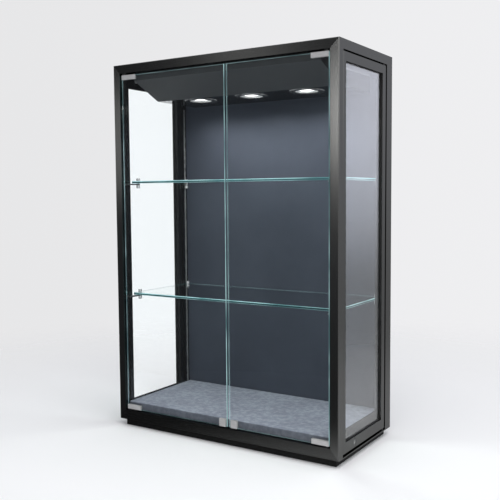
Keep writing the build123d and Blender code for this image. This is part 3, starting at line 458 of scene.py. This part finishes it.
# %% Brushed lines: what an abrasive belt leaves on steel
brushed_lines, take, give = effect(
    "Brushed Lines",
    [("Stretch", "Vector", (40.0, 2000.0, 2000.0)), ("Smooth", "Float", 0.2), ("Dull", "Float", 0.4)],
    [("Height", "Float"), ("Roughness", "Float"), ("Tone", "Float")],
)
lines = clouds(brushed_lines, 1.0, 2.0, take["Stretch"])
gloss = ranged(brushed_lines, lines, 0.3, 0.7, take["Smooth"], take["Dull"])
wire(brushed_lines, lines, give["Height"])
wire(brushed_lines, gloss, give["Roughness"])
wire(brushed_lines, ranged(brushed_lines, lines, 0.25, 0.75), give["Tone"])

# %% Edge wear and highlight: arrises that cloths and hands have rubbed bright, and on the lamp rings a painted highlight
edge_wear_and_highlight, take, give = effect(
    "Edge Wear And Highlight",
    [("Width", "Float", 1.5 * MM), ("Amount", "Float", 0.4)],
    [("Mask", "Float")],
)
rounded = edge_wear_and_highlight.nodes.new("ShaderNodeBevel")
rounded.samples = 4
wire(edge_wear_and_highlight, take["Width"], rounded.inputs["Radius"])
plain_normal = edge_wear_and_highlight.nodes.new("ShaderNodeNewGeometry").outputs["Normal"]
agreement = toward(edge_wear_and_highlight, rounded.outputs["Normal"], plain_normal)
arris = ranged(edge_wear_and_highlight, agreement, 0.995, 0.86)
rubbed = mottled(edge_wear_and_highlight, 35.0, 4.0, 0.35, 0.7)
wire(edge_wear_and_highlight, product(edge_wear_and_highlight, arris, rubbed, take["Amount"]), give["Mask"])

# %% Settled dust: a thin film on what faces up
settled_dust, take, give = effect(
    "Settled Dust",
    [("Amount", "Float", 0.15), ("Patch Scale", "Float", 20.0)],
    [("Mask", "Float")],
)
ledge = ranged(settled_dust, coordinates(settled_dust, "Normal", "Z"), 0.6, 0.95)
patches = ranged(settled_dust, clouds(settled_dust, take["Patch Scale"], 6.0), 0.25, 0.75, 0.35, 1.0)
wire(settled_dust, product(settled_dust, ledge, patches, take["Amount"]), give["Mask"])

# %% Hand marks: faint smears that change only the gloss
hand_marks, take, give = effect(
    "Hand Marks",
    [("Scale", "Float", 30.0), ("Clean", "Float", 0.06), ("Smeared", "Float", 0.18)],
    [("Roughness", "Float")],
)
smears = clouds(hand_marks, take["Scale"], 5.0)
wire(hand_marks, ranged(hand_marks, smears, 0.45, 0.72, take["Clean"], take["Smeared"]), give["Roughness"])

# %% [markdown]
# ## Making a finish
#
# Every finish below is one Principled shader with the effects wired into its colour, gloss and bump. The
# plain numbers are set on the shader itself, so another program can read them. A helper starts the
# material, and another places an effect with its own values.


# %% A helper that starts a finish
def finish(name, **plain):
    """A material with plain values on its shader, a tree to build in and the shader."""
    material = bpy.data.materials.new(name)
    material.use_nodes = True
    tree = material.node_tree
    shader = tree.nodes["Principled BSDF"]
    for label, value in plain.items():
        wire(tree, value, shader.inputs[label.replace("_", " ")])
    return material, tree, shader


# %% Helpers that place an effect, raise a surface and dress pieces
def place_effect(tree, group, **values):
    node = tree.nodes.new("ShaderNodeGroup")
    node.node_tree = group
    for label, value in values.items():
        wire(tree, value, node.inputs[label.replace("_", " ")])
    return node.outputs


def raise_surface(tree, shader, height, distance, strength):
    """A bump from a height; the distance is in metres."""
    bump = tree.nodes.new("ShaderNodeBump")
    for label, value in (("Distance", distance), ("Strength", strength), ("Height", height)):
        wire(tree, value, bump.inputs[label])
    wire(tree, bump.outputs["Normal"], shader.inputs["Normal"])


def dress(material, *names):
    for name in names:
        slots = nodes[name].data.materials
        slots.clear()
        slots.append(material)
    print(material.name, "on", len(names), "pieces")


# %% [markdown]
# ## Graphite anodised profile
#
# The frames are extruded aluminium with a dark satin skin, brushed along each length. It is nearly black
# where it faces the dim room, mid grey where it faces the bright one, and flares where it mirrors a lamp.
# A plain dark paint would stay black on every side, so this is a fully metallic shader with a dark colour.
# The brushing has to run along each piece, so one recipe is made up for each of the three directions. The
# long rails are a darker copy of the same graphite: a painted shade that stands in for their dimmer
# highlight.

# %% A recipe for graphite profile
graphite_colour = (0.108, 0.108, 0.105)
graphite_pale = (0.120, 0.120, 0.117)
graphite_rubbed = (0.30, 0.30, 0.29)
dust_colour = (0.30, 0.30, 0.29)
upright = (2600.0, 2600.0, 26.0)
lengthwise = (26.0, 2600.0, 2600.0)
fore_and_aft = (2600.0, 26.0, 2600.0)


def graphite(name, run, smooth, dull, tone=1.0):
    material, tree, shader = finish(name, Metallic=1.0, Specular_Tint=(0.62, 0.62, 0.62))
    # A tone below one makes a darker copy, used as painted shade on the long rails.
    deep, pale = (tuple(c * tone for c in colour) for colour in (graphite_colour, graphite_pale))
    drawn = place_effect(tree, brushed_lines, Stretch=run, Smooth=smooth, Dull=dull)
    rub = place_effect(tree, edge_wear_and_highlight, Width=1.2 * MM, Amount=0.12)
    dust = place_effect(tree, settled_dust, Amount=0.10, Patch_Scale=14.0)
    skin = between(tree, drawn["Tone"], deep, pale)
    base = between(tree, rub["Mask"], skin, graphite_rubbed)
    wire(tree, between(tree, dust["Mask"], base, dust_colour), shader.inputs["Base Color"])
    wire(tree, drawn["Roughness"], shader.inputs["Roughness"])
    raise_surface(tree, shader, drawn["Height"], 0.003 * MM, 0.08)
    return material


# %% Graphite on the frames
dress(
    graphite("graphite_uprights", upright, 0.22, 0.25),
    "front_left_post", "front_right_post", "rear_left_post", "rear_right_post",
    "left_panel_stiles", "side_door_front_stile", "side_door_rear_stile",
)
dress(
    # Painted shade: a darker copy of the graphite on the long rails.
    graphite("graphite_long_rails_painted_shade", lengthwise, 0.24, 0.28, tone=0.72),
    "front_top_rail", "front_bottom_rail", "rear_top_rail", "rear_bottom_rail",
)
dress(
    graphite("graphite_short_rails", fore_and_aft, 0.22, 0.25),
    "left_top_rail", "right_top_rail", "left_sill", "right_sill", "panel_stops",
    "left_panel_rails", "side_door_top_rail", "side_door_bottom_rail",
)

# %% Painted sheet for the lamp canopy
sheet_low = (0.012, 0.014, 0.017)
sheet_high = (0.018, 0.021, 0.024)
fascia_painted_light = (0.070, 0.074, 0.079)
fascia_dulling = 0.42
canopy_paint, tree, shader = finish("graphite_sheet", IOR=1.40)
coat = place_effect(tree, fine_skin, Scale=1300.0, Smooth=0.10, Dull=0.16)
# Painted light: the sloping fascia, which faces the room, is painted a lighter tone than the underside; it
# is also made duller.
fascia = ranged(tree, coordinates(tree, "Normal", "Z"), -0.98, -0.93)
rub = place_effect(tree, edge_wear_and_highlight, Width=1.0 * MM, Amount=0.2)
flat_tone = between(tree, mottled(tree, 8.0, 4.0), sheet_low, sheet_high)
paint_and_painted_light = between(tree, fascia, flat_tone, fascia_painted_light)
dullness = number(tree, "MULTIPLY_ADD", fascia, fascia_dulling, coat["Roughness"])
wire(tree, between(tree, rub["Mask"], paint_and_painted_light, graphite_rubbed), shader.inputs["Base Color"])
wire(tree, dullness, shader.inputs["Roughness"])
raise_surface(tree, shader, coat["Height"], 0.02 * MM, 0.1)
dress(canopy_paint, "light_canopy")

# %% [markdown]
# ## Boards
#
# The plinth, the deck and the covers are thin dark board with a printed skin, and the back panel is a
# blue-grey one, quite matt, that takes a soft pool of light from the lamps. Board differs from metal by
# a duller gloss and a slightly cloudy tone, so a slow noise shifts the colour by a few percent.

# %% A recipe for board
fleck_share = 0.12


def board(name, low, high, smooth, dull):
    material, tree, shader = finish(name, Specular_IOR_Level=0.12)
    skin = place_effect(tree, fine_skin, Scale=700.0, Smooth=smooth, Dull=dull)
    dust = place_effect(tree, settled_dust, Amount=0.12, Patch_Scale=10.0)
    cloudy = product(tree, mottled(tree, 6.0, 4.0), 1 - fleck_share)
    fleck = mottled(tree, 700.0, 2.0, 0.35, 0.65)
    tone = number(tree, "MULTIPLY_ADD", fleck, fleck_share, cloudy)
    print_tone = between(tree, tone, low, high)
    wire(tree, between(tree, dust["Mask"], print_tone, dust_colour), shader.inputs["Base Color"])
    wire(tree, skin["Roughness"], shader.inputs["Roughness"])
    raise_surface(tree, shader, skin["Height"], 0.02 * MM, 0.12)
    return material


# %% Boards in three tones
dress(
    board("black_plinth_board", (0.010, 0.010, 0.010), (0.016, 0.016, 0.015), 0.5, 0.65),
    "plinth_board",
)
dress(
    board("dark_board", (0.018, 0.018, 0.019), (0.028, 0.028, 0.029), 0.5, 0.65),
    "base_panel", "deck_board", "top_panel",
)
dress(
    board("blue_grey_back_board", (0.061, 0.071, 0.094), (0.077, 0.089, 0.116), 0.58, 0.72),
    "back_panel",
)

# %% [markdown]
# ## Glass
#
# Clear float glass is nearly colourless through its faces and blue-green through its edges, because light
# that leaves at an edge has travelled a long way inside. Tracing that path exactly needs thousands of
# samples, so the edges carry painted light instead, a glow of their own: a group finds them from the
# direction they face, keeps the core dark and draws a pale glowing line near each arris, where cut glass
# gathers the light, and lets edges that face up glow less, a painted shade. Lamps and the room shine
# through the panes, so shadow rays and scattered rays pass straight on.

# %% Pane edges: which faces they are and how deep in the pane a spot lies
pane_edge, take, give = effect(
    "Pane Edge",
    [
        ("Across", "Vector", (0.0, 1.0, 0.0)),
        ("Stripe", "Vector", (3.0, 500.0, 3.0)),
        ("Middle", "Float", 0.1),
        ("Half", "Float", 2.5 * MM),
        ("Near", "Float", 0.1),
        ("Body", "Color", (0.99, 0.998, 0.995, 1.0)),
    ],
    [("Edge", "Float"), ("Tint", "Color"), ("Light", "Color")],
)
along_normal = toward(pane_edge, coordinates(pane_edge, "Normal"), take["Across"])
edge = ranged(pane_edge, number(pane_edge, "ABSOLUTE", along_normal), 0.95, 0.80)
across_pane = toward(pane_edge, coordinates(pane_edge, "Object"), take["Across"])
depth = number(pane_edge, "ABSOLUTE", across_pane)
from_core = number(pane_edge, "SUBTRACT", depth, take["Middle"])
depth_share = number(pane_edge, "DIVIDE", from_core, take["Half"])

# %% Pane edges: a dark green core between two pale lines of painted glow
near_full = number(pane_edge, "ADD", take["Near"], 0.25)
near_line = ranged(pane_edge, depth_share, take["Near"], near_full)
far_line = ranged(pane_edge, depth_share, -0.65, -0.85, 0.0, 0.5)
arris_line = number(pane_edge, "MAXIMUM", near_line, far_line)
streaks = mottled(pane_edge, 1.0, 3.0, stretch=take["Stripe"])
sea_green = between(pane_edge, streaks, (0.002, 0.008, 0.009), (0.007, 0.024, 0.025))
wire(pane_edge, edge, give["Edge"])
wire(pane_edge, between(pane_edge, edge, take["Body"], sea_green), give["Tint"])
core_glow = between(pane_edge, streaks, (0.003, 0.012, 0.013), (0.009, 0.030, 0.032))
bright_run = mottled(pane_edge, 9.0, 3.0, 0.35, 0.65)
arris_glow = between(pane_edge, bright_run, (0.08, 0.16, 0.17), (0.38, 0.58, 0.60))
painted_edge_glint = between(pane_edge, arris_line, core_glow, arris_glow)
# Painted shade: edges that face up glow less.
not_upward = ranged(pane_edge, coordinates(pane_edge, "Normal", "Z"), 0.3, 0.8, 1.0, 0.12)
painted_glow_mask = product(pane_edge, edge, not_upward)
wire(pane_edge, between(pane_edge, painted_glow_mask, black, painted_edge_glint), give["Light"])
print("pane edges take", len(pane_edge.nodes), "nodes")

# %% A recipe for clear glass
pane_body = (0.99, 0.998, 0.995)
shelf_body = (0.95, 0.99, 0.98)


def clear_glass(name, across, stripe, near, pane, glow=1.0, body=pane_body):
    """Glass for panes that face along one axis, measured on the box of one of them."""
    pane_low, pane_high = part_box(pane)
    material, tree, shader = finish(
        name, Metallic=0.0, IOR=1.46, Transmission_Weight=1.0, Emission_Strength=glow
    )
    edges = place_effect(
        tree, pane_edge, Across=across, Stripe=stripe, Near=near, Body=body,
        Middle=abs(Vector(across).dot(pane_low + pane_high)) / 2,
        Half=Vector(across).dot(pane_high - pane_low) / 2,
    )
    wire(tree, edges["Tint"], shader.inputs["Base Color"])
    wire(tree, product(tree, edges["Edge"], 0.12), shader.inputs["Roughness"])
    # The edges' light is painted: an emission that the glow argument makes stronger or weaker.
    wire(tree, edges["Light"], shader.inputs["Emission Color"])
    through = tree.nodes.new("ShaderNodeBsdfTransparent")
    through.inputs["Color"].default_value = (0.93, 0.95, 0.945, 1)
    choose = tree.nodes.new("ShaderNodeMixShader")
    ray = tree.nodes.new("ShaderNodeLightPath").outputs
    passes = number(tree, "MAXIMUM", ray["Is Shadow Ray"], ray["Is Diffuse Ray"])
    for place, source in enumerate((passes, shader.outputs[0], through.outputs[0])):
        wire(tree, source, choose.inputs[place])
    wire(tree, choose.outputs[0], tree.nodes["Material Output"].inputs["Surface"])
    return material


# %% Glass in three orientations
dress(
    clear_glass("clear_door_glass", (0, 1, 0), (4.0, 420.0, 4.0), -0.05, "right_door_glass"),
    "left_door_glass", "right_door_glass",
)
dress(
    clear_glass("clear_side_glass", (1, 0, 0), (420.0, 4.0, 4.0), 0.4, "side_door_glass"),
    "left_panel_glass", "side_door_glass",
)
for shelf in ("lower_shelf", "upper_shelf"):
    name = "clear_" + shelf + "_glass"
    dress(clear_glass(name, (0, 0, 1), (4.0, 4.0, 380.0), 0.4, shelf, 2.4, shelf_body), shelf)

# %% [markdown]
# ## Metal fittings
#
# Clips, strikes and clamps are steel: brushed on the doors, polished on the shelf knobs and the lamp
# rings, plain zinc on the brackets. Small bright parts in a dim case would mirror almost nothing, so the
# clips and knobs are only partly metallic and keep a pale satin of their own. The direction and depth of
# the scratches tell them apart. The lamp rings carry a painted highlight on their arrises alone: a pale
# colour and a faint glow that stand in for the light the arrises would catch.

# %% A recipe for brushed steel
steel_rubbed = (0.82, 0.82, 0.81)
fine_lines = 0.004 * MM
deep_lines = 0.02 * MM


def brushed_steel(name, low, high, stretch, smooth, dull, depth=deep_lines, metal=1.0):
    material, tree, shader = finish(name, Metallic=metal)
    belt = place_effect(tree, brushed_lines, Stretch=stretch, Smooth=smooth, Dull=dull)
    rub = place_effect(tree, edge_wear_and_highlight, Width=0.6 * MM, Amount=0.15)
    tone = between(tree, belt["Tone"], low, high)
    wire(tree, between(tree, rub["Mask"], tone, steel_rubbed), shader.inputs["Base Color"])
    wire(tree, belt["Roughness"], shader.inputs["Roughness"])
    raise_surface(tree, shader, belt["Height"], depth, 0.5)
    return material


# %% Steel on the doors' fittings and the brackets
dress(
    brushed_steel(
        "brushed_clip_steel", (0.56, 0.55, 0.55), (0.68, 0.67, 0.67), (60.0, 900.0, 900.0),
        0.28, 0.42, depth=fine_lines, metal=0.3,
    ),
    "left_door_clips", "right_door_clips", "left_door_strike", "right_door_strike",
)
dress(
    brushed_steel(
        "bracket_steel", (0.48, 0.485, 0.49), (0.58, 0.585, 0.59), (900.0, 900.0, 60.0),
        0.25, 0.32, depth=fine_lines, metal=0.6,
    ),
    "shelf_standards", "side_door_pins", "left_panel_screws",
)
dress(
    brushed_steel(
        "bracket_steel_arms", (0.26, 0.26, 0.26), (0.32, 0.32, 0.32), (60.0, 900.0, 900.0),
        0.25, 0.35, depth=fine_lines,
    ),
    "shelf_arms",
)

# %% Steel on the hidden parts
dress(
    brushed_steel("spring_steel", (0.35, 0.35, 0.36), (0.5, 0.5, 0.51), (900.0, 900.0, 900.0), 0.2, 0.35),
    "latch_springs",
)
dress(
    brushed_steel("cam_steel", (0.40, 0.39, 0.36), (0.55, 0.53, 0.49), (2500.0, 60.0, 2500.0), 0.3, 0.45),
    "lock_cam",
)
dress(
    brushed_steel(
        "corner_key_metal", (0.45, 0.45, 0.45), (0.6, 0.6, 0.6), (500.0, 500.0, 500.0), 0.35, 0.5
    ),
    "front_corner_keys",
)

# %% Polished chrome
hazy_share = 0.86


def polished(name, colour, clean, smeared, metal=1.0):
    material, tree, shader = finish(name, Metallic=metal)
    marks = place_effect(tree, hand_marks, Scale=60.0, Clean=clean, Smeared=smeared)
    haze = mottled(tree, 200.0, 3.0, 0.4, 0.8)
    hazy = tuple(c * hazy_share for c in colour)
    wire(tree, between(tree, haze, colour, hazy), shader.inputs["Base Color"])
    wire(tree, marks["Roughness"], shader.inputs["Roughness"])
    return material


dress(
    polished("polished_chrome", (0.86, 0.87, 0.88), 0.10, 0.20, metal=0.6),
    "shelf_clamp_screws", "shelf_clamp_knobs",
)
dress(polished("lock_chrome", (0.07, 0.07, 0.07), 0.16, 0.28), "lock_housing")
dress(polished("lock_chrome_plug", (0.30, 0.30, 0.29), 0.16, 0.28), "lock_plug")

# %% Chrome rings round the lamps, with a painted highlight and glow on their arrises
ring_dark = (0.16, 0.165, 0.17)
ring_painted_highlight = (0.95, 0.95, 0.95)
ring_painted_glow = (0.50, 0.52, 0.55)
ring_chrome, tree, shader = finish("polished_chrome_rings", Metallic=0.35, Emission_Strength=1.0)
# Painted highlight: the arrises get a pale colour and a faint glow that stand in for the light they would
# catch.
ring_highlight_mask = place_effect(tree, edge_wear_and_highlight, Width=1.2 * MM, Amount=1.6)["Mask"]
ring_marks = place_effect(tree, hand_marks, Scale=60.0, Clean=0.12, Smeared=0.24)
wire(tree, between(tree, ring_highlight_mask, ring_dark, ring_painted_highlight), shader.inputs["Base Color"])
wire(tree, ring_marks["Roughness"], shader.inputs["Roughness"])
wire(tree, between(tree, ring_highlight_mask, black, ring_painted_glow), shader.inputs["Emission Color"])
dress(ring_chrome, "downlight_bezels")

# %% White satin inside the lamps
satin, tree, shader = finish("bright_reflector", IOR=1.5)
coat = place_effect(tree, fine_skin, Scale=1500.0, Smooth=0.30, Dull=0.42)
satin_tone = between(tree, mottled(tree, 90.0, 3.0), (0.84, 0.84, 0.83), (0.90, 0.90, 0.89))
wire(tree, satin_tone, shader.inputs["Base Color"])
wire(tree, coat["Roughness"], shader.inputs["Roughness"])
raise_surface(tree, shader, coat["Height"], 0.02 * MM, 0.3)
dress(satin, "downlight_reflectors")

# %% [markdown]
# ## Rubber and plastic
#
# Gaskets, bushes, the latch bodies, the lamp coolers and the driver's case are moulded. The fine skin
# serves them all, with a coarser grain on rubber and a smoother one on nylon. Subsurface light is left
# out, because black plastic shows none.


# %% A recipe for moulded parts
def moulded(name, low, high, smooth, dull, grain, **plain):
    material, tree, shader = finish(name, **plain)
    skin = place_effect(tree, fine_skin, Scale=grain, Smooth=smooth, Dull=dull)
    wire(tree, between(tree, mottled(tree, 40.0, 4.0), low, high), shader.inputs["Base Color"])
    wire(tree, skin["Roughness"], shader.inputs["Roughness"])
    raise_surface(tree, shader, skin["Height"], 0.04 * MM, 0.4)
    return material


# %% Rubber, nylon and plastic
dress(
    moulded("black_gasket", (0.010, 0.010, 0.010), (0.018, 0.018, 0.018), 0.45, 0.62, 1800.0),
    "left_panel_gasket", "side_door_gasket",
)
dress(
    moulded("black_nylon", (0.014, 0.014, 0.015), (0.024, 0.024, 0.025), 0.3, 0.45, 2600.0),
    "pivot_bushes", "latch_housings", "left_latch_plunger", "right_latch_plunger",
)
dress(
    moulded("black_lamp_body", (0.012, 0.012, 0.012), (0.020, 0.020, 0.020), 0.4, 0.55, 1600.0),
    "downlight_bodies",
)
dress(
    moulded("driver_case", (0.60, 0.60, 0.58), (0.68, 0.68, 0.66), 0.35, 0.5, 1200.0),
    "led_driver",
)
dress(
    moulded("black_grommet", (0.012, 0.012, 0.012), (0.02, 0.02, 0.02), 0.5, 0.65, 1500.0),
    "cable_grommet",
)
dress(
    moulded(
        "clear_pads", (0.70, 0.73, 0.74), (0.80, 0.83, 0.84), 0.2, 0.35, 2000.0, Transmission_Weight=0.6
    ),
    "shelf_pads",
)

# %% [markdown]
# ## Lamp lenses
#
# Each ceiling lamp has an opal disc with a light source behind it, brightest in the middle. Light from a
# glowing surface is slow to trace, so the disc only looks bright, and the ceiling lamps hung just below
# it do the lighting. The glow falls off from the middle of each disc, which the nodes below measure.

# %% Opal lenses that glow from the middle
glow_full, glow_gone = 6 * MM, 22 * MM
opal, tree, shader = finish("opal_lens", Roughness=0.35, Emission_Strength=9.0)
step = number(tree, "DIVIDE", coordinates(tree, "Object", "X"), lamp_pitch)
off_step = number(tree, "SUBTRACT", step, number(tree, "ROUND", step))
off_x = product(tree, off_step, lamp_pitch)
off_y = number(tree, "SUBTRACT", coordinates(tree, "Object", "Y"), lamp_y)
squares = [number(tree, "POWER", offset, 2.0) for offset in (off_x, off_y)]
from_middle = number(tree, "SQRT", number(tree, "ADD", *squares))
rim = ranged(tree, from_middle, glow_full, glow_gone)
lens_glow = between(tree, rim, (1.0, 0.99, 0.97), (0.035, 0.037, 0.04))
lens_tone = between(tree, rim, (0.92, 0.92, 0.91), (0.80, 0.80, 0.79))
wire(tree, lens_glow, shader.inputs["Emission Color"])
wire(tree, lens_tone, shader.inputs["Base Color"])
dress(opal, "downlight_lenses")

# %% [markdown]
# ## The felt on the deck
#
# A wool felt sheet 1.5 mm thick lies on the deck, folds over its front edge and ends just above the frame.
# Cloth simulation would let it slide, but this sheet is glued down and pulled flat, so it is built as a
# strip that follows the deck's profile. Pressed felt is never quite even, so its upper face rises and
# falls by a fraction of a millimetre, and two neat holes clear the door latches.

# %% Trace the sheet's section
felt_low, felt_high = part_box("deck_felt")
felt_thick = 1.5 * MM
fold_radius = 2.2 * MM
fold_steps = 6
weave_step = 3.0 * MM
fold_y = felt_low.y + fold_radius
fold_z = felt_high.z - fold_radius
outer_path = []
run = felt_high.y - fold_y
rows = round(run / weave_step)
for row in range(rows + 1):
    outer_path.append((felt_high.y - run * row / rows, felt_high.z, (0, 1)))
for turn in range(1, fold_steps + 1):
    angle = math.pi / 2 * turn / fold_steps
    outward = (-math.sin(angle), math.cos(angle))
    outer_path.append((fold_y + fold_radius * outward[0], fold_z + fold_radius * outward[1], outward))
drop = fold_z - felt_low.z
drops = round(drop / weave_step)
for row in range(1, drops + 1):
    outer_path.append((felt_low.y, fold_z - drop * row / drops, (-1, 0)))
print("felt section has", len(outer_path), "points")

# %% Lay out the points of both faces
ripple_depth = 0.12 * MM
ripple_scale = 40
ripple_start = 12 * MM
columns = round((felt_high.x - felt_low.x) / weave_step)
shape = bmesh.new()
upper, lower = [], []
for column in range(columns + 1):
    x = felt_low.x + (felt_high.x - felt_low.x) * column / columns
    top_line, under_line = [], []
    for y, z, (out_y, out_z) in outer_path:
        ripple = noise.noise(Vector((x, y, z)) * ripple_scale)
        laid_flat = min(1.0, max(0.0, (y - fold_y) / ripple_start))
        sink = ripple_depth * (1 + ripple * laid_flat)
        top_line.append(shape.verts.new((x, y - out_y * sink, z - out_z * sink)))
        under_line.append(shape.verts.new((x, y - out_y * felt_thick, z - out_z * felt_thick)))
    upper.append(top_line)
    lower.append(under_line)
print("felt has", len(shape.verts), "points in", columns + 1, "columns")

# %% Sew the two faces into one sheet
last = len(outer_path) - 1
for column in range(columns):
    top, next_top = upper[column], upper[column + 1]
    under, next_under = lower[column], lower[column + 1]
    for row in range(last):
        shape.faces.new((top[row], top[row + 1], next_top[row + 1], next_top[row]))
        shape.faces.new((under[row], next_under[row], next_under[row + 1], under[row + 1]))
    for row in (0, last):
        shape.faces.new((top[row], next_top[row], next_under[row], under[row]))
for top, under in ((upper[0], lower[0]), (upper[columns], lower[columns])):
    for row in range(last):
        shape.faces.new((top[row], under[row], under[row + 1], top[row + 1]))
bmesh.ops.recalc_face_normals(shape, faces=shape.faces)
for face in shape.faces:
    face.smooth = True
felt_mesh = bpy.data.meshes.new("deck_felt_sheet")
shape.to_mesh(felt_mesh)
shape.free()
felt = bpy.data.objects.new("deck_felt_sheet", felt_mesh)
bpy.context.scene.collection.objects.link(felt)
print("felt sheet has", len(felt_mesh.polygons), "faces")

# %% Make a punch for the latch holes
latch_radius = 5.3 * MM
latch_height = 49.5 * MM
punch_mesh = bpy.data.meshes.new("felt_punch")
shape = bmesh.new()
for latch_x in (7 * MM, 38 * MM):
    rod = bmesh.ops.create_cone(
        shape, cap_ends=True, segments=40, radius1=latch_radius, radius2=latch_radius, depth=8 * MM
    )["verts"]
    bmesh.ops.rotate(shape, verts=rod, cent=(0, 0, 0), matrix=Matrix.Rotation(math.pi / 2, 3, "X"))
    bmesh.ops.translate(shape, verts=rod, vec=Vector((latch_x, felt_low.y, latch_height)))
shape.to_mesh(punch_mesh)
shape.free()
punch = bpy.data.objects.new("felt_punch", punch_mesh)
bpy.context.scene.collection.objects.link(punch)
print("punch has", len(punch_mesh.polygons), "faces")

# %% Punch the holes
cut = felt.modifiers.new("latch_holes", "BOOLEAN")
cut.operation = "DIFFERENCE"
cut.object = punch
cut.solver = "EXACT"
bpy.context.view_layer.update()
punched = bpy.data.meshes.new_from_object(felt.evaluated_get(bpy.context.evaluated_depsgraph_get()))
felt.modifiers.clear()
felt.data = punched
bpy.data.objects.remove(punch)
print("punched felt has", len(punched.polygons), "faces")

# %% [markdown]
# ## Felt fibre
#
# Pressed wool is a tangle of light and dark fibres, so its colour is a mottle at three sizes: clouds
# across the sheet, clumps a few millimetres wide, and single fibres. A little sheen stands for the fuzz
# that catches light along the surface.

# %% Three sizes of mottle
felt_dark = (0.220, 0.232, 0.285)
felt_middle = (0.285, 0.302, 0.370)
felt_light = (0.365, 0.388, 0.455)
felt_sheen = (0.75, 0.80, 0.90)
wool, tree, shader = finish(
    "grey_felt", Roughness=0.95, Specular_IOR_Level=0.15,
    Sheen_Weight=0.35, Sheen_Roughness=0.5, Sheen_Tint=felt_sheen,
)
drifts = mottled(tree, 14.0, 4.0)
clumps = mottled(tree, 95.0, 6.0)
fibres = mottled(tree, 700.0, 3.0, stretch=(1.0, 2.2, 1.0))
mottle = product(tree, drifts, 0.25)
for layer, share in ((fibres, 0.15), (clumps, 0.6)):
    mottle = number(tree, "MULTIPLY_ADD", layer, share, mottle)
print("the mottle takes", len(tree.nodes), "nodes")

# %% Felt finish
felt_painted_shade = (0.06, 0.066, 0.085)
wool_dark = between(tree, ranged(tree, mottle, 0.1, 0.55), felt_dark, felt_middle)
wool_tone = between(tree, ranged(tree, mottle, 0.5, 0.85), wool_dark, felt_light)
# Painted shade: the front drop, which hangs down, is painted darker than the top.
painted_shade_on_drop = ranged(tree, coordinates(tree, "Normal", "Z"), 0.2, 0.8, 0.62, 0.0)
wire(tree, between(tree, painted_shade_on_drop, wool_tone, felt_painted_shade), shader.inputs["Base Color"])
raise_surface(tree, shader, mottle, 0.3 * MM, 0.35)
felt.data.materials.clear()
felt.data.materials.append(wool)
print(wool.name, "on", felt.name)

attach(felt, "cabinet")
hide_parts("deck_felt")
